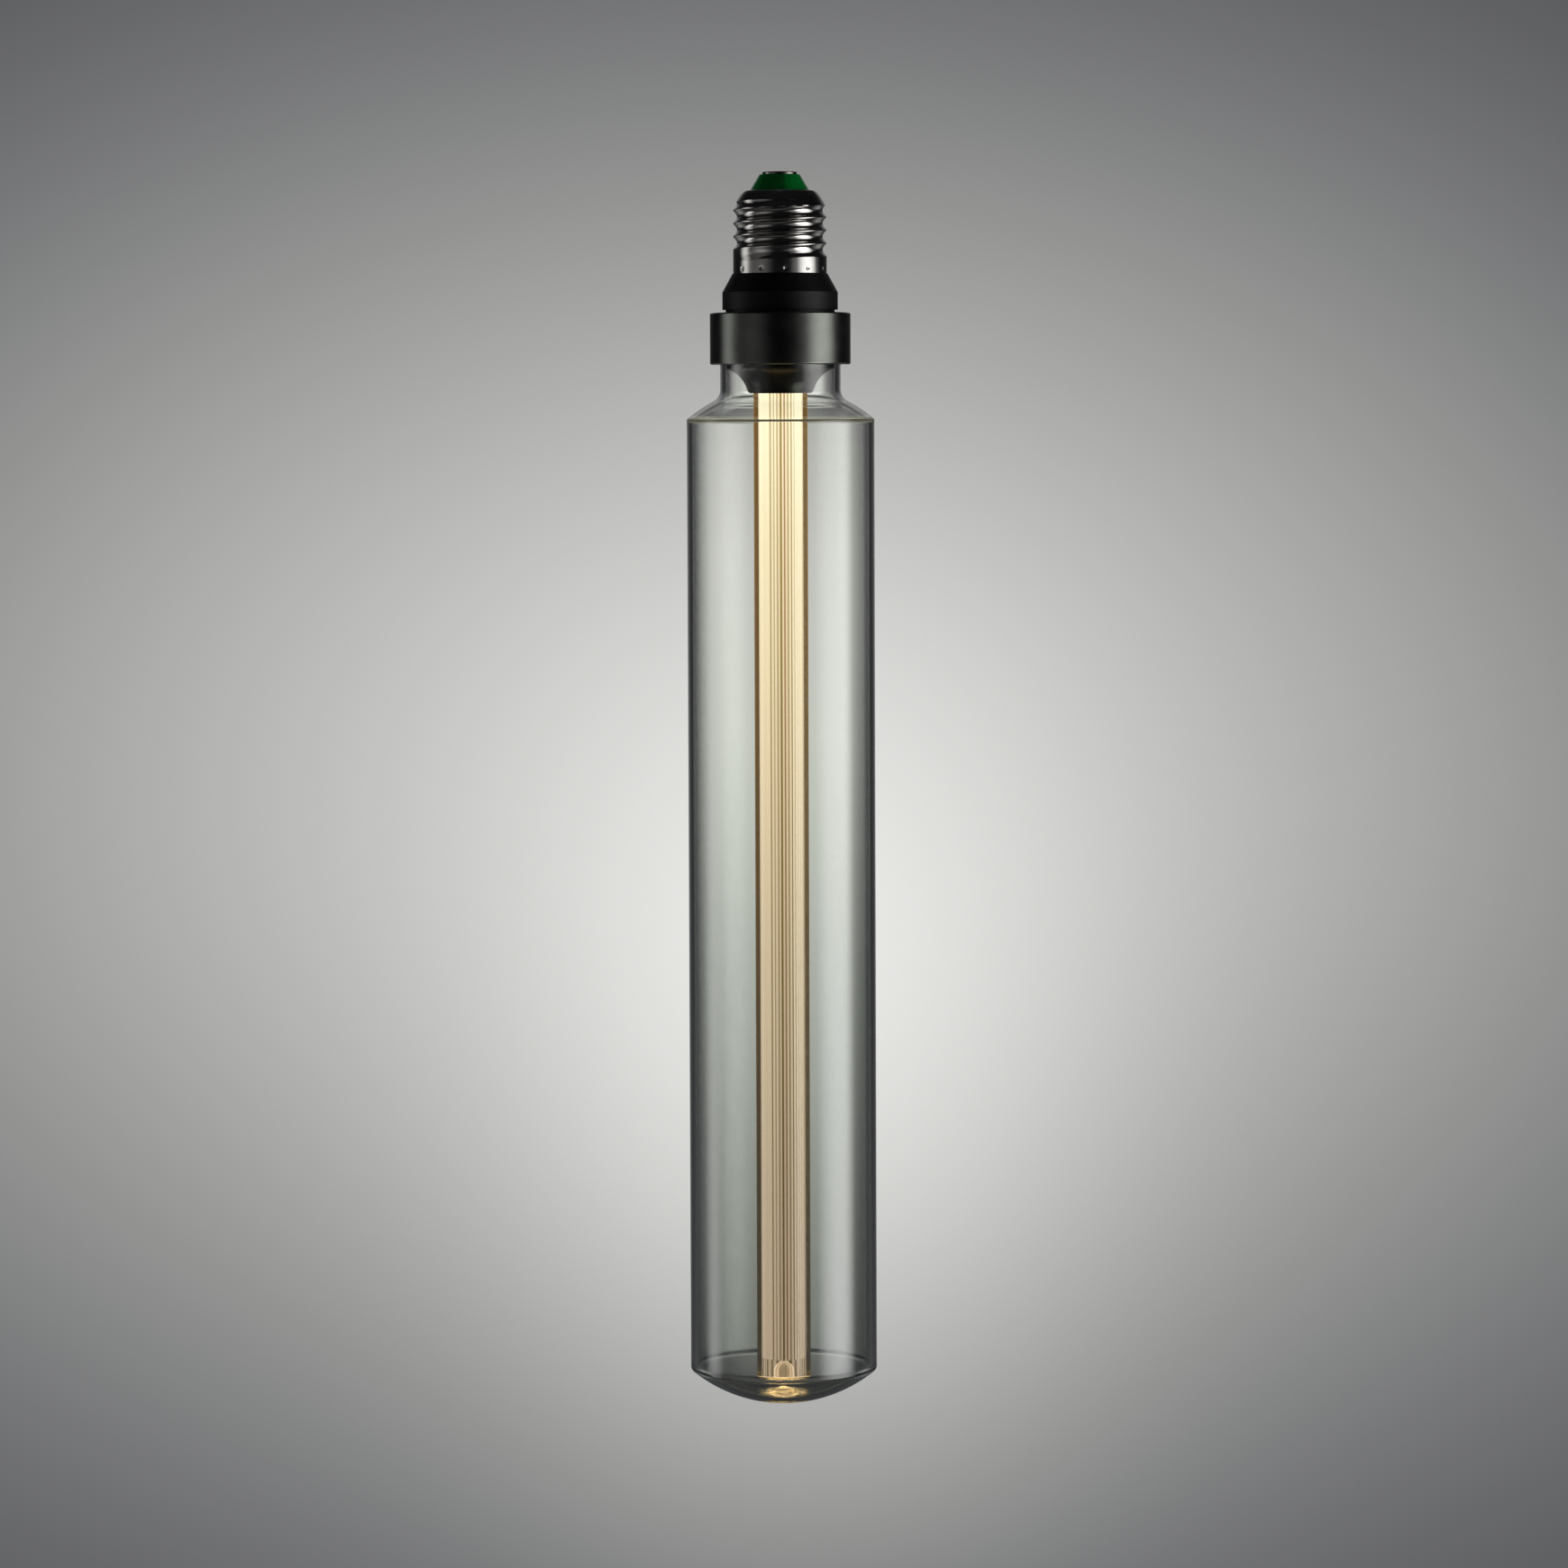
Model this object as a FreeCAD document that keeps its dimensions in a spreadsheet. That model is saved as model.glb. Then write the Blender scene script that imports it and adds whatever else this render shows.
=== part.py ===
import FreeCAD, Part
import Sketcher
import math
import os

# Tubular light bulb with a screw cap, hanging cap up.
# Lengths are millimetres. The origin is the centre of the contact's flat face and +Z is up, so every
# level below is a depth under that face. Each sub-part is one body, named by its label.

Vector = FreeCAD.Vector
doc = FreeCAD.newDocument("TubularBulb")

# Driving dimensions, each an independent size of the real bulb
SIZES = {
    # centre contact: a flat rivet head on a shank
    "contact_radius": 4.8,
    "contact_thickness": 0.75,
    "contact_edge_round": 0.25,
    "shank_radius": 1.4,
    "shank_below_boss": 0.6,
    # insulator: a truncated cone over a flange that the sheet's end holds down
    "insulator_top_radius": 5.65,
    "insulator_cone_height": 4.45,
    "insulator_foot_radius": 8.3,
    "insulator_flange_thickness": 1.7,
    "insulator_boss_radius": 4.0,
    "insulator_boss_length": 1.8,
    # screw shell: thin sheet with a rolled screw thread over a plain skirt
    "shell_major_radius": 13.05,
    "shell_wall": 0.3,
    "shell_end_radius": 9.68,
    "shell_end_round": 0.9,
    "shell_shoulder_height": 5.0,
    "shell_length": 23.0,
    "shell_lip_flare": 0.3,
    "shell_lip_height": 0.45,
    "skirt_height": 4.3,
    "thread_pitch": 3.629,
    "thread_depth": 1.1,
    "thread_turns": 4.0,
    "thread_root_width": 1.1,
    "thread_crest_width": 0.4,
    "thread_runout_angle": 32.0,
    "thread_end_above_skirt": 2.28,
    "dimple_number": 12,
    "dimple_ball_radius": 0.8,
    "dimple_press": 0.2,
    "dimple_above_lip": 1.2,
    "dimple_first_angle": 6.7,
    # neck housing: moulded driver case with a spigot inside the shell
    "housing_top_radius": 13.25,
    "housing_radius": 16.1,
    "housing_cone_height": 5.2,
    "housing_cylinder_height": 4.8,
    "housing_foot_radius": 15.2,
    "housing_foot_gap": 0.9,
    "housing_wall": 1.8,
    "spigot_wall": 1.25,
    "crimp_groove_depth": 0.5,
    "crimp_groove_width": 1.8,
    # collar: turned aluminium ring with a web across it
    "collar_radius": 19.61,
    "collar_height": 14.4,
    "collar_edge_round": 0.5,
    "collar_recess_depth": 1.0,
    "web_thickness": 2.0,
    "wire_hole_radius": 3.6,
    # glass envelope: one blown tube with a neck, a domed shoulder and a domed end
    "glass_radius": 26.2,
    "glass_wall": 1.45,
    "neck_radius": 16.8,
    "dome_radius": 40.5,
    "neck_above_collar_edge": 7.0,
    "collar_to_shoulder": 15.2,
    "tube_length": 266.7,
    "neck_round": 3.7,
    "shoulder_round": 0.8,
    "dome_edge_round": 1.6,
    "cement_thickness": 0.45,
    "cement_below_edge": 0.6,
    # light guide and its holder
    "guide_radius": 7.55,
    "guide_length": 294.5,
    "guide_grooves": 48,
    "guide_groove_width": 0.6,
    "guide_groove_depth": 0.3,
    "guide_recess_radius": 2.0,
    "guide_recess_depth": 5.5,
    "holder_end_radius": 8.75,
    "holder_edge_radius": 9.3,
    "holder_edge_height": 1.3,
    "holder_cove_radius": 8.3,
    "holder_below_collar": 8.3,
    "holder_flare_below_collar": 1.1,
    "holder_mouth_radius": 9.0,
    "holder_mouth_height": 1.4,
    "holder_rim_wall": 2.0,
    # light source board
    "led_board_thickness": 1.0,
    "led_number": 6,
    "led_ring_radius": 5.0,
    "led_length": 3.5,
    "led_width": 2.8,
    "led_height": 0.7,
    "led_to_guide": 0.4,
    # screws that hold the holder and the light source board under the web
    "screw_number": 3,
    "screw_radius": 1.0,
    "screw_head_radius": 1.9,
    "screw_ring_inset": 2.85,
    "screw_head_height": 1.2,
    "screw_length": 9.0,
    "screw_slot_width": 0.5,
    "screw_slot_depth": 0.5,
    # driver board and what is soldered on it
    "board_thickness": 1.2,
    "board_front": 0.45,
    "board_top_below_boss": 2.4,
    "board_above_web": 0.3,
    "capacitor_radius": 4.0,
    "capacitor_length": 11.0,
    "capacitor_offset": 4.3,
    "capacitor_below_board_top": 5.5,
    "film_capacitor_width": 6.0,
    "film_capacitor_depth": 4.0,
    "film_capacitor_height": 7.0,
    "film_capacitor_offset": 4.6,
    "transformer_width": 10.0,
    "transformer_height": 8.0,
    "transformer_core_depth": 4.0,
    "transformer_leg_width": 3.0,
    "transformer_frame_width": 1.5,
    "transformer_above_web": 1.4,
    "winding_depth": 6.2,
    "rectifier_length": 4.8,
    "rectifier_width": 4.0,
    "rectifier_height": 1.6,
    "chip_length": 4.9,
    "chip_width": 3.9,
    "chip_height": 1.5,
    "lead_width": 0.4,
    "lead_reach": 0.9,
    "fuse_radius": 1.4,
    "fuse_length": 5.5,
    "fuse_offset": 5.2,
    "fuse_below_board_top": 2.6,
    "rectifier_centre": 3.4,
    "rectifier_below_board_top": 12.0,
    "chip_centre": -3.6,
    "chip_below_board_top": 6.0,
    # wires
    "wire_radius": 0.45,
    "wire_solder_length": 3.0,
    "led_wire_offset": 1.6,
    "led_wire_overlap": 4.0,
    "shell_wire_start": 4.0,
    "shell_wire_below_board_top": 1.5,
    # clearances between mating parts
    "sliding_clearance": 0.1,
    "seat_clearance": 0.25,
    "board_clearance": 0.2,
}

# Levels and fitted sizes, worked out from the driving dimensions
LEVELS = {
    "shell_top": "contact_thickness + insulator_cone_height",
    "shell_inner_top": "shell_top + shell_wall",
    "shell_shoulder_end": "shell_top + shell_shoulder_height",
    "shell_bottom": "shell_top + shell_length",
    "shell_minor_radius": "shell_major_radius - thread_depth",
    "liner_radius": "shell_minor_radius - shell_wall",
    "skirt_bore_radius": "shell_major_radius - shell_wall",
    "shell_hole_radius": "insulator_foot_radius + sliding_clearance",
    "shell_slope": "(shell_major_radius - shell_end_radius) / shell_shoulder_height",
    "shell_inner_end_radius": "shell_end_radius - shell_wall * 0.6",
    "liner_top": "shell_inner_top + (liner_radius - shell_inner_end_radius) / shell_slope",
    "skirt_top": "shell_bottom - skirt_height",
    "skirt_step": "skirt_top + thread_depth",
    "lip_radius": "shell_major_radius + shell_lip_flare",
    "lip_top": "shell_bottom - shell_lip_height",
    "lip_land": "shell_bottom - shell_lip_height + shell_lip_flare",
    "thread_end": "skirt_top - thread_end_above_skirt",
    "dimple_level": "shell_bottom - dimple_above_lip",
    "dimple_across": "(shell_major_radius + dimple_ball_radius - dimple_press) * cos(dimple_first_angle)",
    "dimple_along": "(shell_major_radius + dimple_ball_radius - dimple_press) * sin(dimple_first_angle)",
    "shank_bore_radius": "shank_radius + sliding_clearance",
    "flange_bottom": "shell_inner_top + insulator_flange_thickness",
    "flange_top_radius": "shell_inner_end_radius - sliding_clearance",
    "flange_bottom_radius": "flange_top_radius + insulator_flange_thickness * shell_slope",
    "boss_bottom": "flange_bottom + insulator_boss_length",
    "shank_bottom": "boss_bottom + shank_below_boss",
    "spigot_radius": "liner_radius - seat_clearance",
    "spigot_bore_radius": "spigot_radius - spigot_wall",
    "spigot_top_radius": "flange_bottom_radius - seat_clearance",
    "spigot_taper_end": "flange_bottom + (spigot_radius - spigot_top_radius) / shell_slope",
    "spigot_top_bore": "spigot_top_radius - spigot_wall",
    "crimp_band_radius": "skirt_bore_radius - sliding_clearance",
    "crimp_band_top": "skirt_step + seat_clearance",
    "crimp_floor_radius": "crimp_band_radius - crimp_groove_depth",
    "crimp_groove_top": "dimple_level - crimp_groove_width / 2",
    "crimp_groove_bottom": "dimple_level + crimp_groove_width / 2",
    "cone_bottom": "shell_bottom + housing_cone_height",
    "cylinder_bottom": "cone_bottom + housing_cylinder_height",
    "collar_top": "cylinder_bottom + housing_foot_gap",
    "web_top": "collar_top + collar_recess_depth",
    "housing_bore_radius": "housing_foot_radius - housing_wall",
    "recess_radius": "housing_foot_radius + sliding_clearance",
    "web_bottom": "web_top + web_thickness",
    "collar_bottom": "collar_top + collar_height",
    "collar_bore_radius": "neck_radius + cement_thickness",
    "neck_top": "collar_bottom - neck_above_collar_edge",
    "neck_bore_radius": "neck_radius - glass_wall",
    "shoulder_level": "collar_bottom + collar_to_shoulder",
    "tube_bottom": "shoulder_level + tube_length",
    "inner_dome_radius": "dome_radius - glass_wall",
    "tube_bore_radius": "glass_radius - glass_wall",
    "shoulder_centre": "shoulder_level + sqrt(dome_radius^2 - glass_radius^2)",
    "dome_centre": "tube_bottom - sqrt(dome_radius^2 - glass_radius^2)",
    "neck_level": "shoulder_centre - sqrt(dome_radius^2 - neck_radius^2)",
    "inner_neck_level": "shoulder_centre - sqrt(inner_dome_radius^2 - neck_bore_radius^2)",
    "inner_shoulder_level": "shoulder_centre - sqrt(inner_dome_radius^2 - tube_bore_radius^2)",
    "inner_tube_bottom": "dome_centre + sqrt(inner_dome_radius^2 - tube_bore_radius^2)",
    "inner_apex": "dome_centre + inner_dome_radius",
    "apex": "dome_centre + dome_radius",
    "inner_neck_round": "neck_round + glass_wall",
    "led_board_bottom": "web_bottom + led_board_thickness",
    "led_bottom": "led_board_bottom + led_height",
    "guide_top": "led_bottom + led_to_guide",
    "guide_bottom": "guide_top + guide_length",
    "guide_recess_top": "guide_bottom - guide_recess_depth",
    "guide_recess_shoulder": "guide_recess_top + guide_recess_radius",
    "holder_radius": "neck_bore_radius - seat_clearance",
    "holder_bore_radius": "guide_radius + sliding_clearance",
    "holder_mouth_bottom": "led_board_bottom + holder_mouth_height",
    "holder_bottom": "collar_bottom + holder_below_collar",
    "holder_flare_level": "collar_bottom + holder_flare_below_collar",
    "holder_edge_level": "holder_bottom - holder_edge_height",
    "holder_rim_radius": "holder_radius - holder_rim_wall",
    "led_board_radius": "holder_rim_radius - sliding_clearance",
    "screw_ring_radius": "(housing_bore_radius + holder_rim_radius) / 2 - screw_ring_inset",
    "screw_hole_radius": "screw_radius + sliding_clearance",
    "screw_head_top": "web_top - screw_head_height",
    "screw_bottom": "web_top + screw_length",
    "pilot_bottom": "screw_bottom + seat_clearance",
    "board_top": "boss_bottom + board_top_below_boss",
    "board_bottom": "web_top - board_above_web",
    "board_foot_top": "cone_bottom + board_clearance",
    "board_back": "board_front + board_thickness",
    "board_neck_half_width": "sqrt(spigot_bore_radius^2 - board_back^2) - board_clearance",
    "board_foot_half_width": "sqrt(housing_bore_radius^2 - board_back^2) - board_clearance",
    "capacitor_bottom": "board_top + capacitor_below_board_top + capacitor_length",
    "film_capacitor_bottom": "board_top + capacitor_below_board_top + film_capacitor_height",
    "transformer_bottom": "web_top - transformer_above_web",
    "core_front": "board_front - (winding_depth + transformer_core_depth) / 2",
    "window_width": "(transformer_width - transformer_leg_width) / 2 - transformer_frame_width",
    "window_height": "transformer_height - 2 * transformer_frame_width",
    "window_bottom": "transformer_frame_width - transformer_bottom",
    "winding_width": "transformer_width - 2 * transformer_frame_width - 2 * sliding_clearance",
    "winding_height": "window_height - 2 * sliding_clearance",
    "winding_bottom": "window_bottom + sliding_clearance",
    "winding_bore_width": "transformer_leg_width + 2 * sliding_clearance",
    "winding_bore_depth": "transformer_core_depth + 2 * sliding_clearance",
    "rectifier_level": "-1 * (board_top + rectifier_below_board_top + rectifier_length)",
    "chip_level": "-1 * (board_top + chip_below_board_top + chip_length)",
    "fuse_bottom": "board_top + fuse_below_board_top + fuse_length",
    "wire_way_radius": "wire_radius + sliding_clearance",
    "shell_wire_level": "board_top + shell_wire_below_board_top",
    "shell_wire_end": "liner_radius - sliding_clearance / 2",
    "led_wire_back": "board_back + wire_radius",
    "led_wire_top": "board_bottom - led_wire_overlap",
    "cement_bottom": "collar_bottom - cement_below_edge",
    "pilot_radius": "screw_radius + sliding_clearance / 5",
    "guide_floor_radius": "guide_radius - guide_groove_depth",
    "guide_mouth_radius": "guide_radius + guide_groove_depth",
    "groove_root_top": "thread_end - thread_root_width / 2",
    "groove_root_bottom": "thread_end + thread_root_width / 2",
    "groove_flank": "(thread_pitch - thread_crest_width - thread_root_width) / 2",
    "groove_over": "sliding_clearance / 2",
    "groove_mouth_radius": "shell_major_radius + groove_over",
    "groove_clear_radius": "shell_lip_flare + groove_mouth_radius",
    "groove_mouth_top": "groove_root_top - groove_flank * (thread_depth + groove_over) / thread_depth",
    "groove_mouth_bottom": "groove_root_bottom + groove_flank * (thread_depth + groove_over) / thread_depth",
    "thread_height": "thread_pitch * thread_turns",
    "runout_height": "thread_pitch * 0.52",
}

sheet = doc.addObject("Spreadsheet::Sheet", "Sizes")


def fill_sheet():
    """Writes every driving size as a plain number and every level as a formula, each under its own alias."""
    rows = list(SIZES.items()) + [(alias, "=" + formula) for alias, formula in LEVELS.items()]
    for row, (alias, content) in enumerate(rows, start=1):
        sheet.set(f"A{row}", alias)
        sheet.set(f"B{row}", str(content))
        sheet.setAlias(f"B{row}", alias)
    doc.recompute()


def size(alias):
    """The present value of one cell."""
    return float(sheet.get(alias))


def bind(item, prop, formula):
    """Ties a property to the sheet; the words of a formula are aliases."""
    words = formula.split(" ")
    item.setExpression(prop, " ".join("Sizes." + w if w in SIZES or w in LEVELS else w for w in words))


def origin_feature(body, role):
    """One of a body's own origin planes or axes."""
    return next(feature for feature in body.Origin.OriginFeatures if feature.Role == role)


def new_body(label):
    body = doc.addObject("PartDesign::Body", "Body_" + label)
    body.Label = label
    return body


def new_sketch(body, name, role):
    sketch = body.newObject("Sketcher::SketchObject", body.Label + "_" + name)
    sketch.AttachmentSupport = [(origin_feature(body, role), "")]
    sketch.MapMode = "FlatFace"
    return sketch


def point(corner):
    """A corner's place in a sketch: radius across, depth downwards; 0 lies on the axis."""
    across, depth = corner
    return Vector(size(across) if across else 0.0, -size(depth) if depth else 0.0, 0.0)


def arc_between(start, end, radius, turn):
    """The minor arc from start to end; turn is +1 anticlockwise and -1 clockwise."""
    chord = end - start
    side = Vector(-chord.y, chord.x, 0.0).normalize() * turn
    centre = (start + end) * 0.5 + side * math.sqrt(radius**2 - (chord.Length / 2) ** 2)
    circle = Part.Circle(centre, Vector(0, 0, 1), radius)
    first, last = (start, end) if turn > 0 else (end, start)
    angles = [math.atan2(p.y - centre.y, p.x - centre.x) for p in (first, last)]
    if angles[1] < angles[0]:
        angles[1] += 2 * math.pi
    return Part.ArcOfCircle(circle, *angles)


def hold(sketch, kind, *place):
    """Adds one sketch constraint."""
    return sketch.addConstraint(Sketcher.Constraint(kind, *place))


def hold_to(sketch, alias, kind, *place):
    """Adds one sketch constraint whose value is the alias's."""
    index = hold(sketch, kind, *place, size(alias))
    bind(sketch, f"Constraints[{index}]", alias)


def draw_outline(sketch, corners, arcs=None):
    """A closed outline through the corners. arcs gives (radius, turn) for the edges that aren't straight,
    by the number of the corner that each starts from."""
    arcs = arcs or {}
    points = [point(corner) for corner in corners]
    ends = []
    for number, start in enumerate(points):
        end = points[(number + 1) % len(points)]
        if number in arcs:
            radius, turn = arcs[number]
            sketch.addGeometry(arc_between(start, end, size(radius), turn))
            ends.append((1, 2) if turn > 0 else (2, 1))
        else:
            sketch.addGeometry(Part.LineSegment(start, end))
            ends.append((1, 2))
    for number, (across, depth) in enumerate(corners):
        following = (number + 1) % len(corners)
        hold(sketch, "Coincident", number, ends[number][1], following, ends[following][0])
        if across:
            hold_to(sketch, across, "DistanceX", -1, 1, number, ends[number][0])
        else:
            hold(sketch, "PointOnObject", number, ends[number][0], -2)
        if depth:
            hold_to(sketch, depth, "DistanceY", number, ends[number][0], -1, 1)
        else:
            hold(sketch, "PointOnObject", number, ends[number][0], -1)
    for number, (radius, _turn) in arcs.items():
        hold_to(sketch, radius, "Radius", number)


def turned(label, corners, arcs=None):
    """A body turned about the bulb's axis from half its section."""
    body = new_body(label)
    sketch = new_sketch(body, "section", "XZ_Plane")
    draw_outline(sketch, corners, arcs)
    turn = body.newObject("PartDesign::Revolution", label + "_turn")
    turn.Profile = (sketch, [""])
    turn.ReferenceAxis = (sketch, ["V_Axis"])
    turn.Angle = 360
    doc.recompute()
    return body


def rings_at(shape, corners):
    """Names of the circular edges about the axis at the given corners."""
    names = []
    for corner in corners:
        place = point(corner)
        for number, edge in enumerate(shape.Edges, start=1):
            box = edge.BoundBox
            level = abs(box.ZMin - place.y) < 1e-4 and abs(box.ZMax - place.y) < 1e-4
            if level and isinstance(edge.Curve, Part.Circle) and abs(edge.Curve.Radius - place.x) < 1e-4:
                names.append(f"Edge{number}")
    return names


def round_rings(body, corners, radius):
    """Rounds the circular edges at the given corners of a turned body."""
    before = body.Tip
    fillet = body.newObject("PartDesign::Fillet", f"{body.Label}_{radius}")
    fillet.Base = (before, rings_at(before.Shape, corners))
    bind(fillet, "Radius", radius)
    doc.recompute()


def cut_pocket(body, sketch, reach=None, towards_normal=False):
    """Cuts a sketch out of a body, all the way or by a stated reach."""
    before = body.Shape.Volume
    pocket = body.newObject("PartDesign::Pocket", sketch.Name + "_cut")
    pocket.Profile = (sketch, [""])
    pocket.Reversed = towards_normal
    if reach:
        bind(pocket, "Length", reach)
    else:
        pocket.Type = "ThroughAll"
    doc.recompute()
    if not body.Shape.Volume < before:
        raise ValueError(f"{sketch.Name} cuts nothing")
    return pocket


def repeat_around(body, feature, axis_sketch, number):
    """Repeats a feature around the bulb's axis."""
    pattern = body.newObject("PartDesign::PolarPattern", feature.Name + "_around")
    pattern.Originals = [feature]
    pattern.Axis = (axis_sketch, ["N_Axis"])
    pattern.Angle = 360
    bind(pattern, "Occurrences", number)
    body.Tip = pattern
    doc.recompute()


def block(label, lengths, corner):
    """A box of three bound lengths, placed by its lowest corner."""
    box = doc.addObject("Part::Box", label)
    for prop, formula in zip(("Length", "Width", "Height"), lengths):
        bind(box, prop, formula)
    for axis, formula in zip("xyz", corner):
        bind(box, f"Placement.Base.{axis}", formula)
    return box


def rod(label, radius, length, base, along=Vector(0, 0, 1)):
    """A round bar of bound radius and length, from its base along one axis."""
    bar = doc.addObject("Part::Cylinder", label)
    bind(bar, "Radius", radius)
    bind(bar, "Height", length)
    bar.Placement.Rotation = FreeCAD.Rotation(Vector(0, 0, 1), along)
    for axis, formula in zip("xyz", base):
        bind(bar, f"Placement.Base.{axis}", formula)
    return bar


def joined(label, items):
    fuse = doc.addObject("Part::MultiFuse", label)
    fuse.Shapes = items
    return fuse


def cut_from(label, base, tool):
    cut = doc.addObject("Part::Cut", label)
    cut.Base = base
    cut.Tool = tool
    return cut


def around_axis(label, item, number):
    """Separate copies of one item, evenly spaced around the bulb's axis, as one group."""
    doc.recompute()
    copies = []
    for place in range(int(size(number))):
        copy = item.Shape.copy()
        copy.rotate(Vector(), Vector(0, 0, 1), 360.0 * place / size(number))
        copies.append(copy)
    group = doc.addObject("Part::Feature", label)
    group.Shape = Part.makeCompound(copies)
    group.Placement = FreeCAD.Placement()
    return group


def make_centre_contact():
    body = turned("centre_contact", [
        (0, 0),
        ("contact_radius", 0),
        ("contact_radius", "contact_thickness"),
        ("shank_radius", "contact_thickness"),
        ("shank_radius", "shank_bottom"),
        (0, "shank_bottom"),
    ])
    round_rings(body, [("contact_radius", 0)], "contact_edge_round")
    return body


def make_insulator():
    return turned("insulator", [
        ("shank_bore_radius", "contact_thickness"),
        ("insulator_top_radius", "contact_thickness"),
        ("insulator_foot_radius", "shell_top"),
        ("insulator_foot_radius", "shell_inner_top"),
        ("flange_top_radius", "shell_inner_top"),
        ("flange_bottom_radius", "flange_bottom"),
        ("insulator_boss_radius", "flange_bottom"),
        ("insulator_boss_radius", "boss_bottom"),
        ("shank_bore_radius", "boss_bottom"),
    ])


def thread_groove(body, cutter, height, runout=False):
    """One stretch of the helical groove that leaves the rolled thread standing; the run-out climbs out
    of the sheet on a cone as it winds down to the skirt."""
    before = body.Shape.Volume
    groove = body.newObject("PartDesign::SubtractiveHelix", body.Label + ("_runout" if runout else "_thread"))
    groove.Profile = (cutter, [""])
    groove.ReferenceAxis = (cutter, ["V_Axis"])
    groove.Mode = "pitch-height-angle"
    bind(groove, "Pitch", "thread_pitch")
    bind(groove, "Height", height)
    if runout:
        groove.Reversed = True
        bind(groove, "Angle", "thread_runout_angle")
    doc.recompute()
    if not body.Shape.Volume < before:
        raise ValueError(f"{groove.Name} cuts nothing")


def punch_dimples(body):
    """The ring of small dents that hold the skirt on the housing."""
    ball = body.newObject("PartDesign::SubtractiveSphere", "screw_shell_dimple")
    bind(ball, "Radius", "dimple_ball_radius")
    bind(ball, "Placement.Base.x", "dimple_across")
    bind(ball, "Placement.Base.y", "dimple_along")
    bind(ball, "Placement.Base.z", "-1 * dimple_level")
    doc.recompute()
    pattern = body.newObject("PartDesign::PolarPattern", "screw_shell_dimples")
    pattern.Originals = [ball]
    pattern.Axis = (origin_feature(body, "Z_Axis"), [""])
    pattern.Angle = 360
    bind(pattern, "Occurrences", "dimple_number")
    body.Tip = pattern
    doc.recompute()


def make_screw_shell():
    body = turned("screw_shell", [
        ("shell_hole_radius", "shell_top"),
        ("shell_end_radius", "shell_top"),
        ("shell_major_radius", "shell_shoulder_end"),
        ("shell_major_radius", "lip_top"),
        ("lip_radius", "lip_land"),
        ("lip_radius", "shell_bottom"),
        ("skirt_bore_radius", "shell_bottom"),
        ("skirt_bore_radius", "skirt_step"),
        ("liner_radius", "skirt_top"),
        ("liner_radius", "liner_top"),
        ("shell_inner_end_radius", "shell_inner_top"),
        ("shell_hole_radius", "shell_inner_top"),
    ])
    round_rings(body, [("shell_end_radius", "shell_top")], "shell_end_round")
    punch_dimples(body)
    cutter = new_sketch(body, "groove", "XZ_Plane")
    draw_outline(cutter, [
        ("shell_minor_radius", "groove_root_top"),
        ("groove_mouth_radius", "groove_mouth_top"),
        ("groove_clear_radius", "groove_mouth_top"),
        ("groove_clear_radius", "groove_mouth_bottom"),
        ("groove_mouth_radius", "groove_mouth_bottom"),
        ("shell_minor_radius", "groove_root_bottom"),
    ])
    thread_groove(body, cutter, "thread_height")
    thread_groove(body, cutter, "runout_height", runout=True)
    return body


def make_neck_housing():
    body = turned("neck_housing", [
        ("spigot_top_bore", "flange_bottom"),
        ("spigot_top_radius", "flange_bottom"),
        ("spigot_radius", "spigot_taper_end"),
        ("spigot_radius", "crimp_band_top"),
        ("crimp_band_radius", "crimp_band_top"),
        ("crimp_band_radius", "crimp_groove_top"),
        ("crimp_floor_radius", "dimple_level"),
        ("crimp_band_radius", "crimp_groove_bottom"),
        ("crimp_band_radius", "shell_bottom"),
        ("housing_top_radius", "shell_bottom"),
        ("housing_radius", "cone_bottom"),
        ("housing_radius", "cylinder_bottom"),
        ("housing_foot_radius", "cylinder_bottom"),
        ("housing_foot_radius", "web_top"),
        ("housing_bore_radius", "web_top"),
        ("housing_bore_radius", "cone_bottom"),
        ("spigot_bore_radius", "shell_bottom"),
        ("spigot_bore_radius", "spigot_taper_end"),
    ])
    wire_way = new_sketch(body, "wire_way", "YZ_Plane")
    wire_way.addGeometry(Part.Circle(Vector(0, -size("shell_wire_level"), 0), Vector(0, 0, 1), size("wire_way_radius")))
    hold(wire_way, "PointOnObject", 0, 3, -2)
    hold_to(wire_way, "shell_wire_level", "DistanceY", 0, 3, -1, 1)
    hold_to(wire_way, "wire_way_radius", "Radius", 0)
    cut_pocket(body, wire_way, "shell_major_radius", towards_normal=True)
    return body


def make_collar():
    body = turned("collar", [
        ("wire_hole_radius", "web_top"),
        ("recess_radius", "web_top"),
        ("recess_radius", "collar_top"),
        ("collar_radius", "collar_top"),
        ("collar_radius", "collar_bottom"),
        ("collar_bore_radius", "collar_bottom"),
        ("collar_bore_radius", "web_bottom"),
        ("wire_hole_radius", "web_bottom"),
    ])
    round_rings(body, [("collar_radius", "collar_top"), ("collar_radius", "collar_bottom")], "collar_edge_round")
    drill_ring(body, "screw_hole_radius")
    return body


def drill_ring(body, radius):
    """Screw holes right through a body, spaced around the axis."""
    sketch = new_sketch(body, "screw_hole", "XY_Plane")
    sketch.addGeometry(Part.Circle(Vector(0, size("screw_ring_radius"), 0), Vector(0, 0, 1), size(radius)))
    hold(sketch, "PointOnObject", 0, 3, -2)
    hold_to(sketch, "screw_ring_radius", "DistanceY", -1, 1, 0, 3)
    hold_to(sketch, radius, "Radius", 0)
    repeat_around(body, cut_pocket(body, sketch), sketch, "screw_number")


def make_neck_cement():
    return turned("neck_cement", [
        ("neck_radius", "neck_top"),
        ("collar_bore_radius", "neck_top"),
        ("collar_bore_radius", "cement_bottom"),
        ("neck_radius", "cement_bottom"),
    ])


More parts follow.
